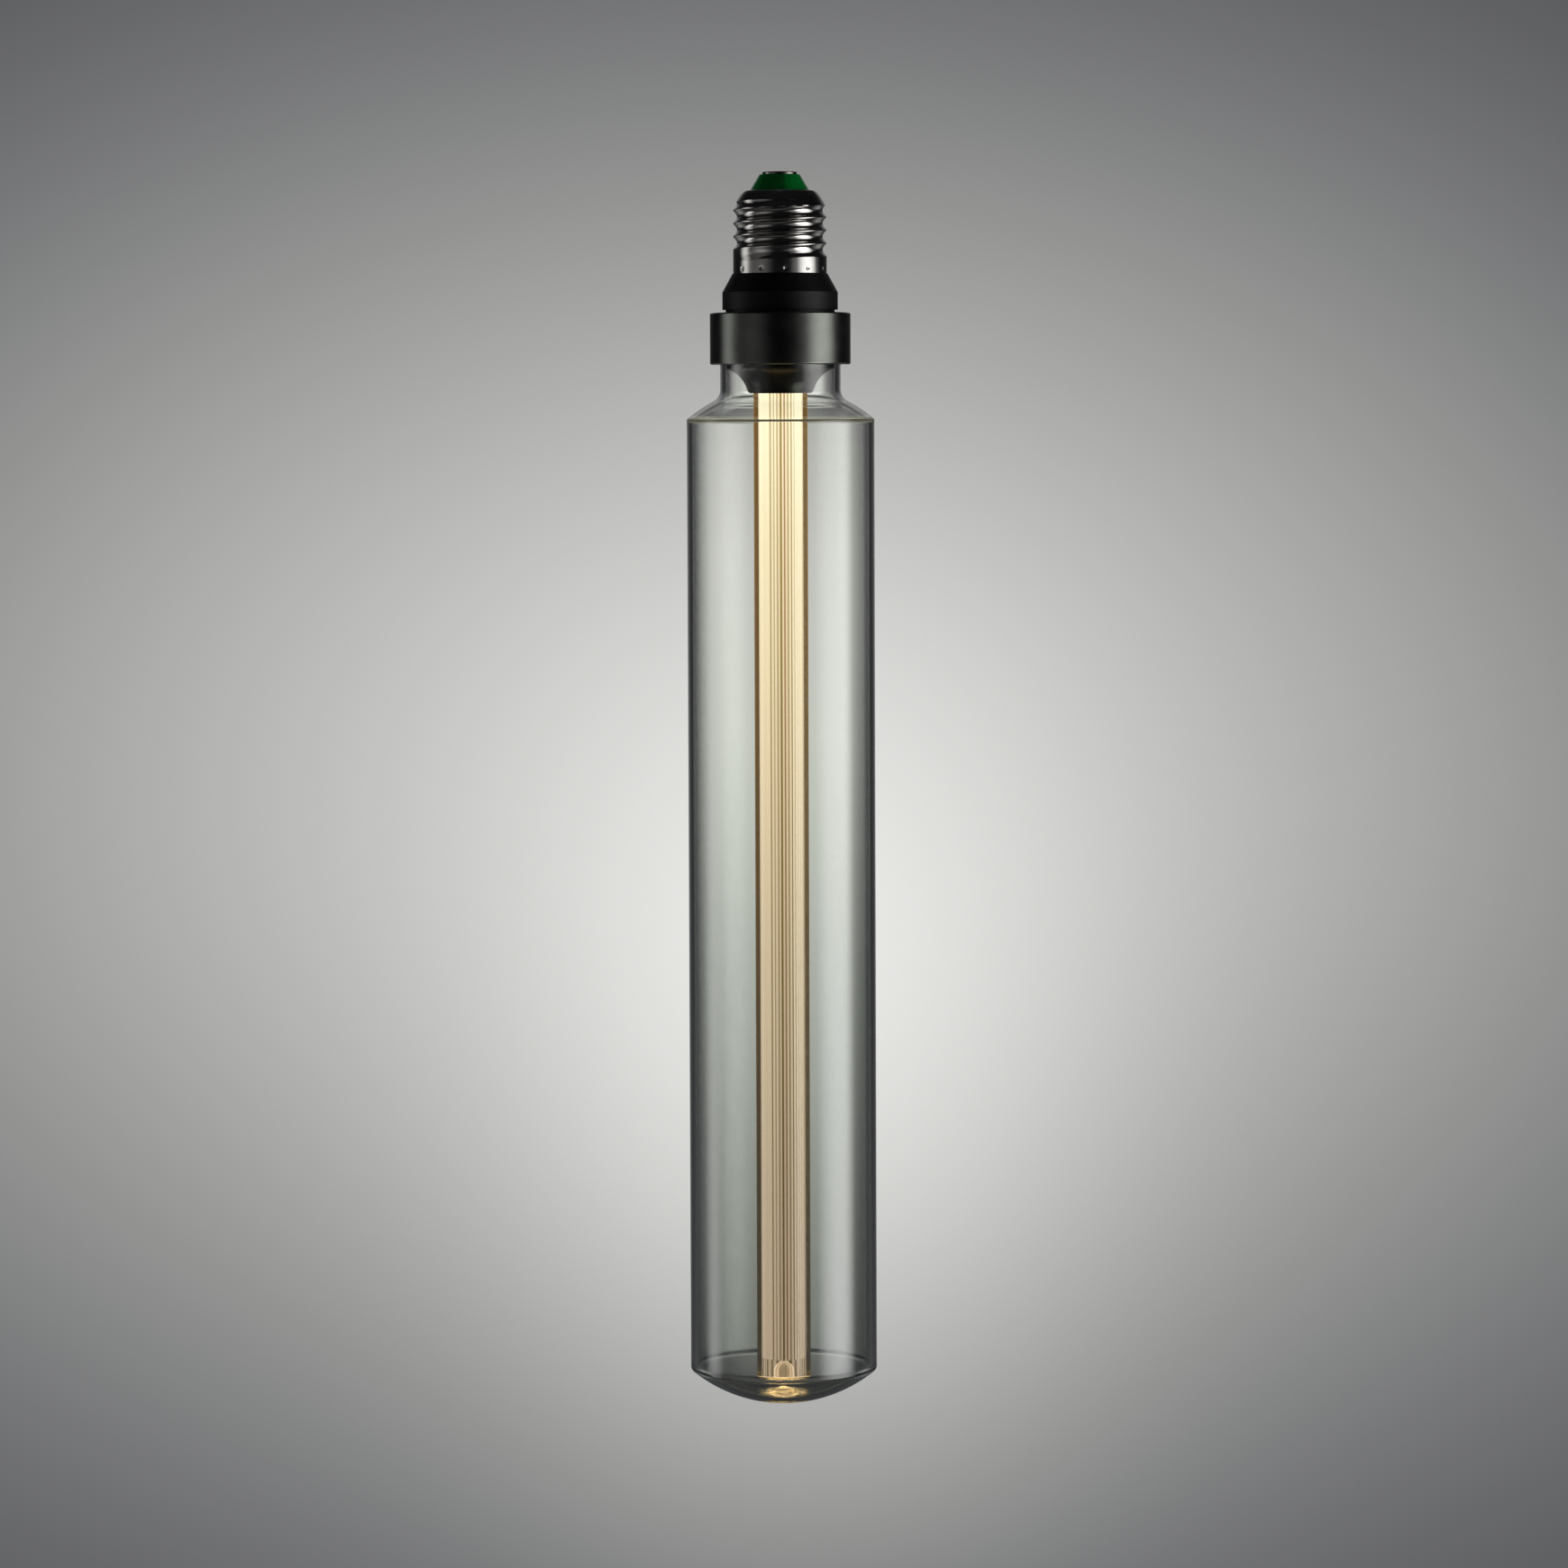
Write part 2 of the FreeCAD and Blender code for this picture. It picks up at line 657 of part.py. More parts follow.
def make_glass_envelope():
    body = turned("glass_envelope", [
        ("neck_bore_radius", "neck_top"),
        ("neck_radius", "neck_top"),
        ("neck_radius", "neck_level"),
        ("glass_radius", "shoulder_level"),
        ("glass_radius", "tube_bottom"),
        (0, "apex"),
        (0, "inner_apex"),
        ("tube_bore_radius", "inner_tube_bottom"),
        ("tube_bore_radius", "inner_shoulder_level"),
        ("neck_bore_radius", "inner_neck_level"),
    ], {2: ("dome_radius", -1), 4: ("dome_radius", -1), 6: ("inner_dome_radius", 1), 8: ("inner_dome_radius", 1)})
    round_rings(body, [("neck_radius", "neck_level")], "neck_round")
    round_rings(body, [("neck_bore_radius", "inner_neck_level")], "inner_neck_round")
    round_rings(body, [("glass_radius", "shoulder_level")], "shoulder_round")
    round_rings(body, [("glass_radius", "tube_bottom")], "dome_edge_round")
    return body


def make_guide_holder():
    body = turned("guide_holder", [
        ("holder_rim_radius", "web_bottom"),
        ("holder_radius", "web_bottom"),
        ("holder_radius", "holder_flare_level"),
        ("holder_edge_radius", "holder_edge_level"),
        ("holder_end_radius", "holder_bottom"),
        ("holder_bore_radius", "holder_bottom"),
        ("holder_bore_radius", "holder_mouth_bottom"),
        ("holder_mouth_radius", "led_board_bottom"),
        ("holder_rim_radius", "led_board_bottom"),
    ], {2: ("holder_cove_radius", 1)})
    pilot = new_sketch(body, "pilot", "XY_Plane")
    pilot.addGeometry(Part.Circle(Vector(0, size("screw_ring_radius"), 0), Vector(0, 0, 1), size("pilot_radius")))
    hold(pilot, "PointOnObject", 0, 3, -2)
    hold_to(pilot, "screw_ring_radius", "DistanceY", -1, 1, 0, 3)
    hold_to(pilot, "pilot_radius", "Radius", 0)
    repeat_around(body, cut_pocket(body, pilot, "pilot_bottom"), pilot, "screw_number")
    return body


def make_light_guide():
    body = turned("light_guide", [
        (0, "guide_top"),
        ("guide_radius", "guide_top"),
        ("guide_radius", "guide_bottom"),
        ("guide_recess_radius", "guide_bottom"),
        ("guide_recess_radius", "guide_recess_shoulder"),
        (0, "guide_recess_top"),
    ], {4: ("guide_recess_radius", 1)})
    groove = new_sketch(body, "groove", "XY_Plane")
    floor = Vector(size("guide_floor_radius"), 0, 0)
    mouth = [Vector(size("guide_mouth_radius"), side * size("guide_groove_width"), 0) for side in (-1, 1)]
    for start, end in ((floor, mouth[0]), (mouth[0], mouth[1]), (mouth[1], floor)):
        groove.addGeometry(Part.LineSegment(start, end))
    for edge in range(3):
        hold(groove, "Coincident", edge, 2, (edge + 1) % 3, 1)
    hold(groove, "PointOnObject", 0, 1, -1)
    hold_to(groove, "guide_floor_radius", "DistanceX", -1, 1, 0, 1)
    hold_to(groove, "guide_mouth_radius", "DistanceX", -1, 1, 1, 1)
    hold_to(groove, "guide_mouth_radius", "DistanceX", -1, 1, 1, 2)
    hold_to(groove, "guide_groove_width", "DistanceY", 1, 1, -1, 1)
    hold_to(groove, "guide_groove_width", "DistanceY", -1, 1, 1, 2)
    repeat_around(body, cut_pocket(body, groove), groove, "guide_grooves")
    return body


def make_led_board():
    body = turned("led_board", [
        (0, "web_bottom"),
        ("led_board_radius", "web_bottom"),
        ("led_board_radius", "led_board_bottom"),
        (0, "led_board_bottom"),
    ])
    drill_ring(body, "screw_hole_radius")
    wire_holes = new_sketch(body, "wire_holes", "XY_Plane")
    for number, side in enumerate((-1, 1)):
        centre = Vector(side * size("led_wire_offset"), size("led_wire_back"), 0)
        wire_holes.addGeometry(Part.Circle(centre, Vector(0, 0, 1), size("wire_way_radius")))
        hold_to(wire_holes, "led_wire_back", "DistanceY", -1, 1, number, 3)
        hold_to(wire_holes, "wire_way_radius", "Radius", number)
    hold_to(wire_holes, "led_wire_offset", "DistanceX", 0, 3, -1, 1)
    hold_to(wire_holes, "led_wire_offset", "DistanceX", -1, 1, 1, 3)
    cut_pocket(body, wire_holes)
    return body


def make_led_chips():
    chip = block("led_chip", ("led_width", "led_length", "led_height"),
                 ("led_ring_radius - led_width / 2", "-0.5 * led_length", "-1 * led_bottom"))
    return around_axis("led_chips", chip, "led_number")


def make_holder_screws():
    body = turned("holder_screw", [
        (0, "screw_head_top"),
        ("screw_head_radius", "screw_head_top"),
        ("screw_head_radius", "web_top"),
        ("screw_radius", "web_top"),
        ("screw_radius", "screw_bottom"),
        (0, "screw_bottom"),
    ])
    slot = block("screw_slot", ("2 * screw_head_radius", "screw_slot_width", "screw_slot_depth"),
                 ("-1 * screw_head_radius", "-0.5 * screw_slot_width", "screw_slot_depth * -1 - screw_head_top"))
    screw = cut_from("slotted_screw", body, slot)
    bind(screw, "Placement.Base.y", "screw_ring_radius")
    return around_axis("holder_screws", screw, "screw_number")


def make_driver_board():
    neck = block("board_neck", ("2 * board_neck_half_width", "board_thickness", "board_foot_top - board_top"),
                 ("-1 * board_neck_half_width", "board_front", "-1 * board_foot_top"))
    foot = block("board_foot", ("2 * board_foot_half_width", "board_thickness", "board_bottom - board_foot_top"),
                 ("-1 * board_foot_half_width", "board_front", "-1 * board_bottom"))
    return joined("driver_board", [neck, foot])


def make_capacitor():
    return rod("capacitor", "capacitor_radius", "capacitor_length",
               ("-1 * capacitor_offset", "board_front - capacitor_radius", "-1 * capacitor_bottom"))


def make_film_capacitor():
    return block("film_capacitor", ("film_capacitor_width", "film_capacitor_depth", "film_capacitor_height"),
                 ("film_capacitor_offset - film_capacitor_width / 2", "board_front - film_capacitor_depth",
                  "-1 * film_capacitor_bottom"))


def make_transformer_core():
    """A closed frame with a leg across its middle, seen as a figure of eight from the front."""
    frame = block("core_frame", ("transformer_width", "transformer_core_depth", "transformer_height"),
                  ("-0.5 * transformer_width", "core_front", "-1 * transformer_bottom"))
    windows = [
        block(f"core_window_{side}", ("window_width", "transformer_core_depth", "window_height"),
              (corner, "core_front", "window_bottom"))
        for side, corner in (("left", "transformer_frame_width - transformer_width / 2"),
                             ("right", "transformer_leg_width / 2"))
    ]
    return cut_from("transformer_core", frame, joined("core_windows", windows))


def make_transformer_winding():
    """The coil that fills both windows and stands proud of the core in front and behind."""
    coil = block("coil_outside", ("winding_width", "winding_depth", "winding_height"),
                 ("-0.5 * winding_width", "board_front - winding_depth", "winding_bottom"))
    leg_space = block("coil_inside", ("winding_bore_width", "winding_bore_depth", "winding_height"),
                      ("-0.5 * winding_bore_width", "core_front - sliding_clearance", "winding_bottom"))
    return cut_from("transformer_winding", coil, leg_space)


def leaded_chip(label, length, width, height, centre, bottom, leads_a_side):
    """A moulded chip flat on the board's back with flat leads along its two long sides."""
    pieces = [block(label + "_body", (width, height, length), (f"{centre} - {width} / 2", "board_back", bottom))]
    for side, start in (("left", f"{centre} - {width} / 2 - lead_reach"), ("right", f"{centre} + {width} / 2")):
        for lead in range(leads_a_side):
            level = f"{bottom} + {length} * {(lead + 0.5) / leads_a_side} - lead_width / 2"
            pieces.append(block(f"{label}_{side}_{lead}", ("lead_reach", "lead_width", "lead_width"),
                                (start, "board_back", level)))
    return joined(label, pieces)


def make_fuse_resistor():
    body = rod("fuse_body", "fuse_radius", "fuse_length",
               ("fuse_offset", "board_back + fuse_radius", "-1 * fuse_bottom"))
    leads = rod("fuse_leads", "lead_width", "fuse_length + 2 * lead_reach",
                ("fuse_offset", "board_back + fuse_radius", "-1 * fuse_bottom - lead_reach"))
    return joined("fuse_resistor", [body, leads])


def make_wires():
    contact = rod("contact_wire", "wire_radius", "board_top + wire_solder_length - shank_bottom",
                  ("0", "0", "-1 * board_top - wire_solder_length"))
    shell = rod("shell_wire", "wire_radius", "shell_wire_end - shell_wire_start",
                ("shell_wire_start", "0", "-1 * shell_wire_level"), along=Vector(1, 0, 0))
    leads = [
        rod(f"led_wire_{name}", "wire_radius", "led_board_bottom - led_wire_top",
            (f"{side} * led_wire_offset", "led_wire_back", "-1 * led_board_bottom"))
        for name, side in (("left", -1), ("right", 1))
    ]
    return [contact, shell] + leads


def checked(items):
    """Stops the build when any feature failed or a sub-part isn't a valid solid."""
    doc.recompute()
    for item in doc.Objects:
        if "Invalid" in item.State or "Error" in item.State:
            raise ValueError(f"{item.Label} failed: {item.State}")
    for item in items:
        if item.Shape.isNull() or not item.Shape.isValid() or not item.Shape.Solids:
            raise ValueError(f"{item.Label} isn't a valid solid")
    return items


fill_sheet()
sub_parts = checked([
    make_centre_contact(),
    make_insulator(),
    make_screw_shell(),
    make_neck_housing(),
    make_collar(),
    make_neck_cement(),
    make_glass_envelope(),
    make_guide_holder(),
    make_light_guide(),
    make_led_board(),
    make_led_chips(),
    make_holder_screws(),
    make_driver_board(),
    make_capacitor(),
    make_film_capacitor(),
    make_transformer_core(),
    make_transformer_winding(),
    leaded_chip("bridge_rectifier", "rectifier_length", "rectifier_width", "rectifier_height",
                "rectifier_centre", "rectifier_level", 2),
    leaded_chip("driver_chip", "chip_length", "chip_width", "chip_height", "chip_centre", "chip_level", 4),
    make_fuse_resistor(),
    *make_wires(),
])

os.makedirs("parts", exist_ok=True)
for item in sub_parts:
    item.Shape.exportStep(f"parts/{item.Label}.step")
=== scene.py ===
# %% [markdown]
# A tubular light bulb
#
# The real thing is a long clear glass tube with a domed end, hung from a 27 mm screw cap. A board with
# light sources hides in the black collar and shines down into a clear acrylic rod on the tube's axis. The
# rod carries the light, and fine grooves in it let the light out along its whole length.
#
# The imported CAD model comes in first, as a frame that fixes every size. The frame's lengths are metres, its
# origin is the centre of the cap's contact, +Z points up through the cap, and the photograph looks along
# +Y. Sizes of the bulb are written in millimetres, and MM turns them to metres.

# %% The frame
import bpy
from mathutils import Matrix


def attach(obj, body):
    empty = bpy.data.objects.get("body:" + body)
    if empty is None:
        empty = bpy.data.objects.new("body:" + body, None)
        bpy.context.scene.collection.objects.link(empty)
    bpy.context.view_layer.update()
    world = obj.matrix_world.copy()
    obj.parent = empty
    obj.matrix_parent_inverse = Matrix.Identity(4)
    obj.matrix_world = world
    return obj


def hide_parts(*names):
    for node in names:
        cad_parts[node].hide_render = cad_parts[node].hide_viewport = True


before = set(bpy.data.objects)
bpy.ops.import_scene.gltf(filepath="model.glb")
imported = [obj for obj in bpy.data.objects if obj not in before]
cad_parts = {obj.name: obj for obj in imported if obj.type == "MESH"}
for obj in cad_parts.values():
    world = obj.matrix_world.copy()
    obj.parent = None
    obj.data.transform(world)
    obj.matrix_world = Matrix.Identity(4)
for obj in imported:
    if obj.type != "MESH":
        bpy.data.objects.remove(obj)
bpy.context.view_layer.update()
MM = 0.001

# %% Libraries
import bpy
import numpy as np
from math import pi, radians
from mathutils import Matrix, Vector
print("nodes in the frame:", len(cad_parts))

# %% [markdown]
# Colours
#
# A colour is written as its sRGB hex value, because that is what a colour picker shows. The renderer adds
# up linear light, so one function turns the first into the second.

# %% Colours
def linear(hex_code):
    """sRGB to linear: up to 0.04045 divide by 12.92, above it ((v + 0.055) / 1.055) to the power 2.4."""
    srgb = np.array([int(hex_code[i:i + 2], 16) for i in (1, 3, 5)]) / 255
    light = np.where(srgb <= 0.04045, srgb / 12.92, ((srgb + 0.055) / 1.055) ** 2.4)
    return (*map(float, light), 1.0)


print("mid grey is", linear("#808080")[0])

# %% [markdown]
# Nodes
#
# A material is a tree of nodes. One function adds a node with its settings and links. Where it is given a
# node as a value, it links that node's first live output, so that a tree reads as a list of steps. Patterns
# read Object coordinates, which are the frame's metres, so a pattern's scale is 1 over its real size in
# metres.

# %% Nodes
def plug(node, inputs):
    """Sets sockets of a node, each to a plain value, to a socket, or to the first live output of a node."""
    for key, value in inputs.items():
        if isinstance(value, bpy.types.Node):
            value = next(socket for socket in value.outputs if socket.enabled)
        if isinstance(value, bpy.types.NodeSocket):
            node.id_data.links.new(value, node.inputs[key])
        else:
            node.inputs[key].default_value = value


def add_node(tree, kind, inputs=None, stops=(), **settings):
    """Adds a node. kind is Blender's name for it without the leading ShaderNode. stops are the (place, hex
    colour or grey level) pairs of a colour ramp."""
    node = tree.nodes.new("ShaderNode" + kind)
    for name, value in settings.items():
        setattr(node, name, value)
    plug(node, inputs or {})
    if stops:
        elements = node.color_ramp.elements
        while len(elements) < len(stops):
            elements.new(0.5)
        for element, (place, shade) in zip(elements, stops):
            element.position = place
            element.color = linear(shade) if isinstance(shade, str) else (shade, shade, shade, 1.0)
    return node


def start_material(name):
    """A new material, its tree, its Principled shader, and the Object coordinates that its patterns read."""
    material = bpy.data.materials.new(name)
    material.use_nodes = True
    tree = material.node_tree
    return material, tree, tree.nodes["Principled BSDF"], add_node(tree, "TexCoord").outputs["Object"]


# A Mix node has sockets for every kind of value. Those for its two colours are number 6 and 7.
FIRST, SECOND = 6, 7
print("colour sockets of a Mix node:", FIRST, SECOND)

# %% [markdown]
# The camera
#
# The photograph was taken with a long lens from a point level with the glass's shoulder, 1.58 m away and
# tipped down a little. The focal length follows from the scale: at the bulb the frame is 0.439 m wide. The
# picture leans by a fifth of a degree, and so does the camera.

# %% Camera
EYE = Vector((0.0, -1.58, -0.0677))
AIM = Vector((0.0006, 0.0, -0.1706))
LENS, SENSOR, ROLL = 129.8, 36, -0.21


def stand_and_face(eye, target):
    """The matrix of a camera or lamp that stands at eye and looks along its own -Z at target."""
    return Matrix.Translation(eye) @ (target - eye).to_track_quat("-Z", "Y").to_matrix().to_4x4()


camera_data = bpy.data.cameras.new("camera")
camera_data.lens = LENS
camera_data.sensor_width = SENSOR
camera = bpy.data.objects.new("camera", camera_data)
camera.matrix_world = stand_and_face(EYE, AIM) @ Matrix.Rotation(radians(ROLL), 4, "Z")
bpy.context.scene.collection.objects.link(camera)
bpy.context.scene.camera = camera
bpy.context.scene.view_settings.view_transform = "Standard"
print("frame width at the bulb in m:", round((AIM - EYE).length * SENSOR / LENS, 4))

# %% [markdown]
# The backdrop
#
# The bulb hangs in front of a grey backdrop with a soft round glow on it. A lit sheet behind the bulb could
# show that, but only from one side, so the world itself is painted by the direction of sight: a bearing,
# which is 0 straight behind the bulb and grows towards +X, and an elevation. Both are in radians.

# %% Direction of sight
world = bpy.data.worlds.new("studio")
bpy.context.scene.world = world
world.use_nodes = True
sky = world.node_tree
sky.nodes.clear()
direction = add_node(sky, "TexCoord").outputs["Generated"]
sight = add_node(sky, "SeparateXYZ", {0: direction}).outputs
bearing = add_node(sky, "Math", {0: sight["X"], 1: sight["Y"]}, operation="ARCTAN2")
either_side = add_node(sky, "Math", {0: bearing}, operation="ABSOLUTE")
elevation = add_node(sky, "Math", {0: sight["Z"]}, operation="ARCSINE")
rays = add_node(sky, "LightPath").outputs
unseen = add_node(sky, "Math", {0: 1.0, 1: rays["Is Camera Ray"]}, operation="SUBTRACT")
print("nodes for the direction:", len(sky.nodes))

# %% [markdown]
# A lamp's glow on cloth has no edge. The bell curve, the exponential of minus a distance squared, has none
# either, so every soft spot of the backdrop is one.

# %% One soft spot
def spot(around, centre, spread, strength):
    """strength x exp(-((around - a0) / sa)^2 - ((elevation - e0) / se)^2), with centre (a0, e0) and spread
    (sa, se) in radians."""
    squares = []
    for angle, middle, width in zip((around, elevation), centre, spread):
        off = add_node(sky, "Math", {0: angle, 1: middle}, operation="SUBTRACT")
        off = add_node(sky, "Math", {0: off, 1: width}, operation="DIVIDE")
        squares.append(add_node(sky, "Math", {0: off, 1: off}, operation="MULTIPLY"))
    total = add_node(sky, "Math", {0: squares[0], 1: squares[1]}, operation="ADD")
    power = add_node(sky, "Math", {0: total, 1: -1.0}, operation="MULTIPLY")
    bell = add_node(sky, "Math", {0: power}, operation="EXPONENT")
    return add_node(sky, "Math", {0: bell, 1: strength}, operation="MULTIPLY")


# A spread of 9 radians is wider than the whole sky, so such a spot hardly changes along that angle.
EVERYWHERE = 9.0
print("a spot is still", round(float(np.exp(-(pi / EVERYWHERE) ** 2)), 2), "as strong half a turn away")

# %% [markdown]
# What only metal and glass see
#
# A studio isn't the same grey all round. Far to the sides it is darker, above the backdrop it is paler, and
# a trace of light comes from straight overhead. None of this is in the picture. It shows in the metal and
# in the rims of the glass, so it is left out for rays that come straight from the camera.

# %% Unseen surroundings
FAR_GREY, DARKER = 0.0473, 0.8
UNSEEN_SPOTS = [((0.0, 0.24), (0.5, 0.13), 0.3), ((0.0, pi / 2), (EVERYWHERE, 0.5), 0.005)]
ahead = spot(bearing, (0.0, 0.0), (0.5, EVERYWHERE), 1.0)
aside = add_node(sky, "Math", {0: 1.0, 1: ahead}, operation="SUBTRACT")
dark = add_node(sky, "Math", {0: aside, 1: unseen}, operation="MULTIPLY")
glow = add_node(sky, "Math", {0: dark, 1: -DARKER * FAR_GREY, 2: FAR_GREY}, operation="MULTIPLY_ADD")
for centre, spread, strength in UNSEEN_SPOTS:
    above = spot(bearing, centre, spread, strength)
    glow = add_node(sky, "Math", {0: above, 1: unseen, 2: glow}, operation="MULTIPLY_ADD")
print("unseen spots:", len(UNSEEN_SPOTS))

# %% [markdown]
# The glow behind the bulb
#
# The photograph's glow is two wide spots, one inside the other. Other views look past the bulb at other
# parts of the studio, so more spots stand at both sides, and low down on the diagonals for a camera that
# looks down.

# %% Glow
SEEN_SPOTS = [
    (bearing, (-0.0082, -0.0653), (0.1695, 0.1161), 0.5482),
    (bearing, (0.0040, -0.1160), (0.0542, 0.0784), 0.2753),
    (either_side, (pi / 2, -0.05), (0.24, 0.16), 0.55),
    (either_side, (pi / 4, -0.42), (0.36, 0.20), 0.45),
    (either_side, (3 * pi / 4, -0.28), (0.36, 0.22), 0.45),
]
for around, centre, spread, strength in SEEN_SPOTS:
    one_spot = spot(around, centre, spread, strength)
    glow = add_node(sky, "Math", {0: one_spot, 1: glow}, operation="ADD")
print("seen spots:", len(SEEN_SPOTS))

# %% [markdown]
# The tint goes from a cool grey in the dark to a faintly warm one in the glow. Camera, mirror and glass
# rays see this picture. The light that falls on dull surfaces is one even grey, so the glow lights nothing
# up.

# %% Tint and rays
COOL, WARM, EVEN = (0.975, 0.985, 1.04, 1), (0.998, 1.006, 0.972, 1), (0.06, 0.06, 0.06, 1)
warmth = add_node(sky, "MapRange", {"Value": glow, "From Min": 0.12, "From Max": 0.32})
tint = add_node(sky, "Mix", {0: warmth, FIRST: COOL, SECOND: WARM}, data_type="RGBA")
picture = add_node(sky, "Mix", {0: 1.0, FIRST: tint, SECOND: glow}, data_type="RGBA", blend_type="MULTIPLY")
seen = add_node(sky, "Math", {0: rays["Is Camera Ray"], 1: rays["Is Glossy Ray"]}, operation="ADD")
seen = add_node(sky, "Math", {0: seen, 1: rays["Is Transmission Ray"]}, operation="ADD", use_clamp=True)
even = add_node(sky, "Background", {"Color": EVEN, "Strength": 1.0})
backdrop = add_node(sky, "Background", {"Color": picture, "Strength": 1.0})
either = add_node(sky, "MixShader", {0: seen, 1: even, 2: backdrop})
add_node(sky, "OutputWorld", {"Surface": either})
print("world nodes:", len(sky.nodes))

# %% [markdown]
# Surfaces of revolution
#
# Glass, rod and cap are drawn, turned or rolled round one axis, so one function makes them: a profile of
# radius and height is carried round the axis. With t the place along the profile and a the angle, the point
# is (r(t) cos a, r(t) sin a, z(t)). Where the profile meets the axis its ring of points shrinks to one
# pole.

# %% The turning function
AT_AXIS, SHARP = 1e-9, radians(40)


def ring_faces(radius, sides):
    """Faces between each ring of points and the next, and from the last to the first. Their corners are the
    points (t, a), (t, a + 1), (t + 1, a + 1) and (t + 1, a). On a pole every point is the ring's first."""
    t, a = np.arange(len(radius))[:, None], np.arange(sides)[None, :]
    along_axis = (radius < AT_AXIS) & (np.roll(radius, -1) < AT_AXIS)
    here = t[~along_axis]
    after, turned = (here + 1) % len(radius), (a + 1) % sides
    corners = (here * sides + a, here * sides + turned, after * sides + turned, after * sides + a)
    merged = np.where(radius[:, None] < AT_AXIS, t * sides, t * sides + a).ravel()
    return merged[np.stack(np.broadcast_arrays(*corners), axis=-1).reshape(-1, 4)]


def turn(name, radius, height, sides, swell=None):
    """A closed solid of revolution. radius and height run once round the section, anticlockwise where radius
    points right and height up, which turns every face outwards. swell adds to the radius at each (t, a)."""
    radius, height = np.asarray(radius, float), np.asarray(height, float)
    angle = np.arange(sides) * 2 * pi / sides
    r = radius[:, None] + (0 if swell is None else swell(np.arange(len(radius))[:, None], angle[None, :]))
    r, z = np.broadcast_to(r, (len(radius), sides)), np.broadcast_to(height[:, None], (len(radius), sides))
    points = np.stack([r * np.cos(angle), r * np.sin(angle), z], axis=-1).reshape(-1, 3)
    kept, faces = np.unique(ring_faces(radius, sides), return_inverse=True)
    # A face that touches a pole has one point twice. Without the second it is a triangle.
    faces = [list(dict.fromkeys(face)) for face in faces.reshape(-1, 4).tolist()]
    mesh = bpy.data.meshes.new(name)
    mesh.from_pydata(points[kept].tolist(), [], faces)
    mesh.shade_smooth()
    mesh.set_sharp_from_angle(angle=SHARP)
    piece = bpy.data.objects.new(name, mesh)
    bpy.context.scene.collection.objects.link(piece)
    print(name, "faces:", len(mesh.polygons))
    return piece


# %% [markdown]
# The floor
#
# The floor is plain pale paint, rolled on and matt, far below the bulb. Seen from above its rim would show,
# so its outer part fades into the backdrop. Its mottling is a third of a metre across, as a roller leaves
# it.

# %% Floor
FLOOR_LEVEL, FLOOR_DEPTH, FLOOR_RADIUS = -1.9, 0.02, 3.0
FADE_START, FADE_END = 0.8, 2.9


def from_axis(tree, place):
    """The distance from the bulb's axis: the length of (x, y, 0)."""
    flat = add_node(tree, "VectorMath", {0: place, 1: (1, 1, 0)}, operation="MULTIPLY")
    return add_node(tree, "VectorMath", {0: flat}, operation="LENGTH")


underside = FLOOR_LEVEL - FLOOR_DEPTH
floor = turn("studio_floor", [0, FLOOR_RADIUS, FLOOR_RADIUS, 0],
             [underside, underside, FLOOR_LEVEL, FLOOR_LEVEL], sides=96)
paint, tree, shader, place = start_material("emulsion paint, rolled on and matt")
fade = add_node(tree, "MapRange", {"Value": from_axis(tree, place), "From Min": FADE_START,
                                   "From Max": FADE_END}, interpolation_type="SMOOTHSTEP")
mottle = add_node(tree, "TexNoise", {"Vector": place, "Scale": 3.0, "Detail": 4.0})
pale = add_node(tree, "ValToRGB", {0: mottle}, stops=[(0.3, "#b9b9b6"), (0.7, "#c0c0bd")])
plug(shader, {"Base Color": pale, "Roughness": 0.8})
clear = add_node(tree, "BsdfTransparent")
faded = add_node(tree, "MixShader", {0: fade, 1: shader, 2: clear})
plug(tree.nodes["Material Output"], {"Surface": faded})
floor.data.materials.append(paint)

# %% [markdown]
# The lamps
#
# Four tall softboxes stand round the bulb: a strong one at each side, and a weak one on each side nearer to
# the camera. What shows of them is their mirror image: a bright upright strip near each side of the glass,
# and the long highlights on the cap and collar. The light is weak round the camera, so the middle of every
# polished part stays black. The strips grow brighter downwards, so the strong boxes are brighter in their
# lower part.

# %% The cloth of a softbox
GAIN_START, GAIN_FULL = -0.1, -0.45


def cloth_light(cloth, low_gain):
    """(1 - x^2)^2 across the box, x from -1 to 1, times a gain that grows from 1 to low_gain downwards."""
    on_cloth = add_node(cloth, "NewGeometry").outputs
    x = add_node(cloth, "SeparateXYZ", {0: on_cloth["Parametric"]}).outputs["X"]
    x = add_node(cloth, "Math", {0: x, 1: 2.0, 2: -1.0}, operation="MULTIPLY_ADD")
    square = add_node(cloth, "Math", {0: x, 1: x}, operation="MULTIPLY")
    middle = add_node(cloth, "Math", {0: 1.0, 1: square}, operation="SUBTRACT")
    middle = add_node(cloth, "Math", {0: middle, 1: middle}, operation="MULTIPLY")
    height = add_node(cloth, "SeparateXYZ", {0: on_cloth["Position"]}).outputs["Z"]
    gain = add_node(cloth, "MapRange", {"Value": height, "From Min": GAIN_START,
                                        "From Max": GAIN_FULL, "To Min": 1.0, "To Max": low_gain})
    return add_node(cloth, "Math", {0: middle, 1: gain}, operation="MULTIPLY")


print("the gain grows over", round(GAIN_START - GAIN_FULL, 2), "m")

# %% [markdown]
# The boxes stay out of the picture. Blender hides a lamp from the camera, but not behind glass: sight that
# has gone through the four faces of the tube's two walls, and was never mirrored, would look straight at
# the box. So the cloth gives no light to such sight. Both counts are whole numbers, and their limits lie
# halfway.

# %% Hidden behind glass
FACES, MIRRORS = 4, 1


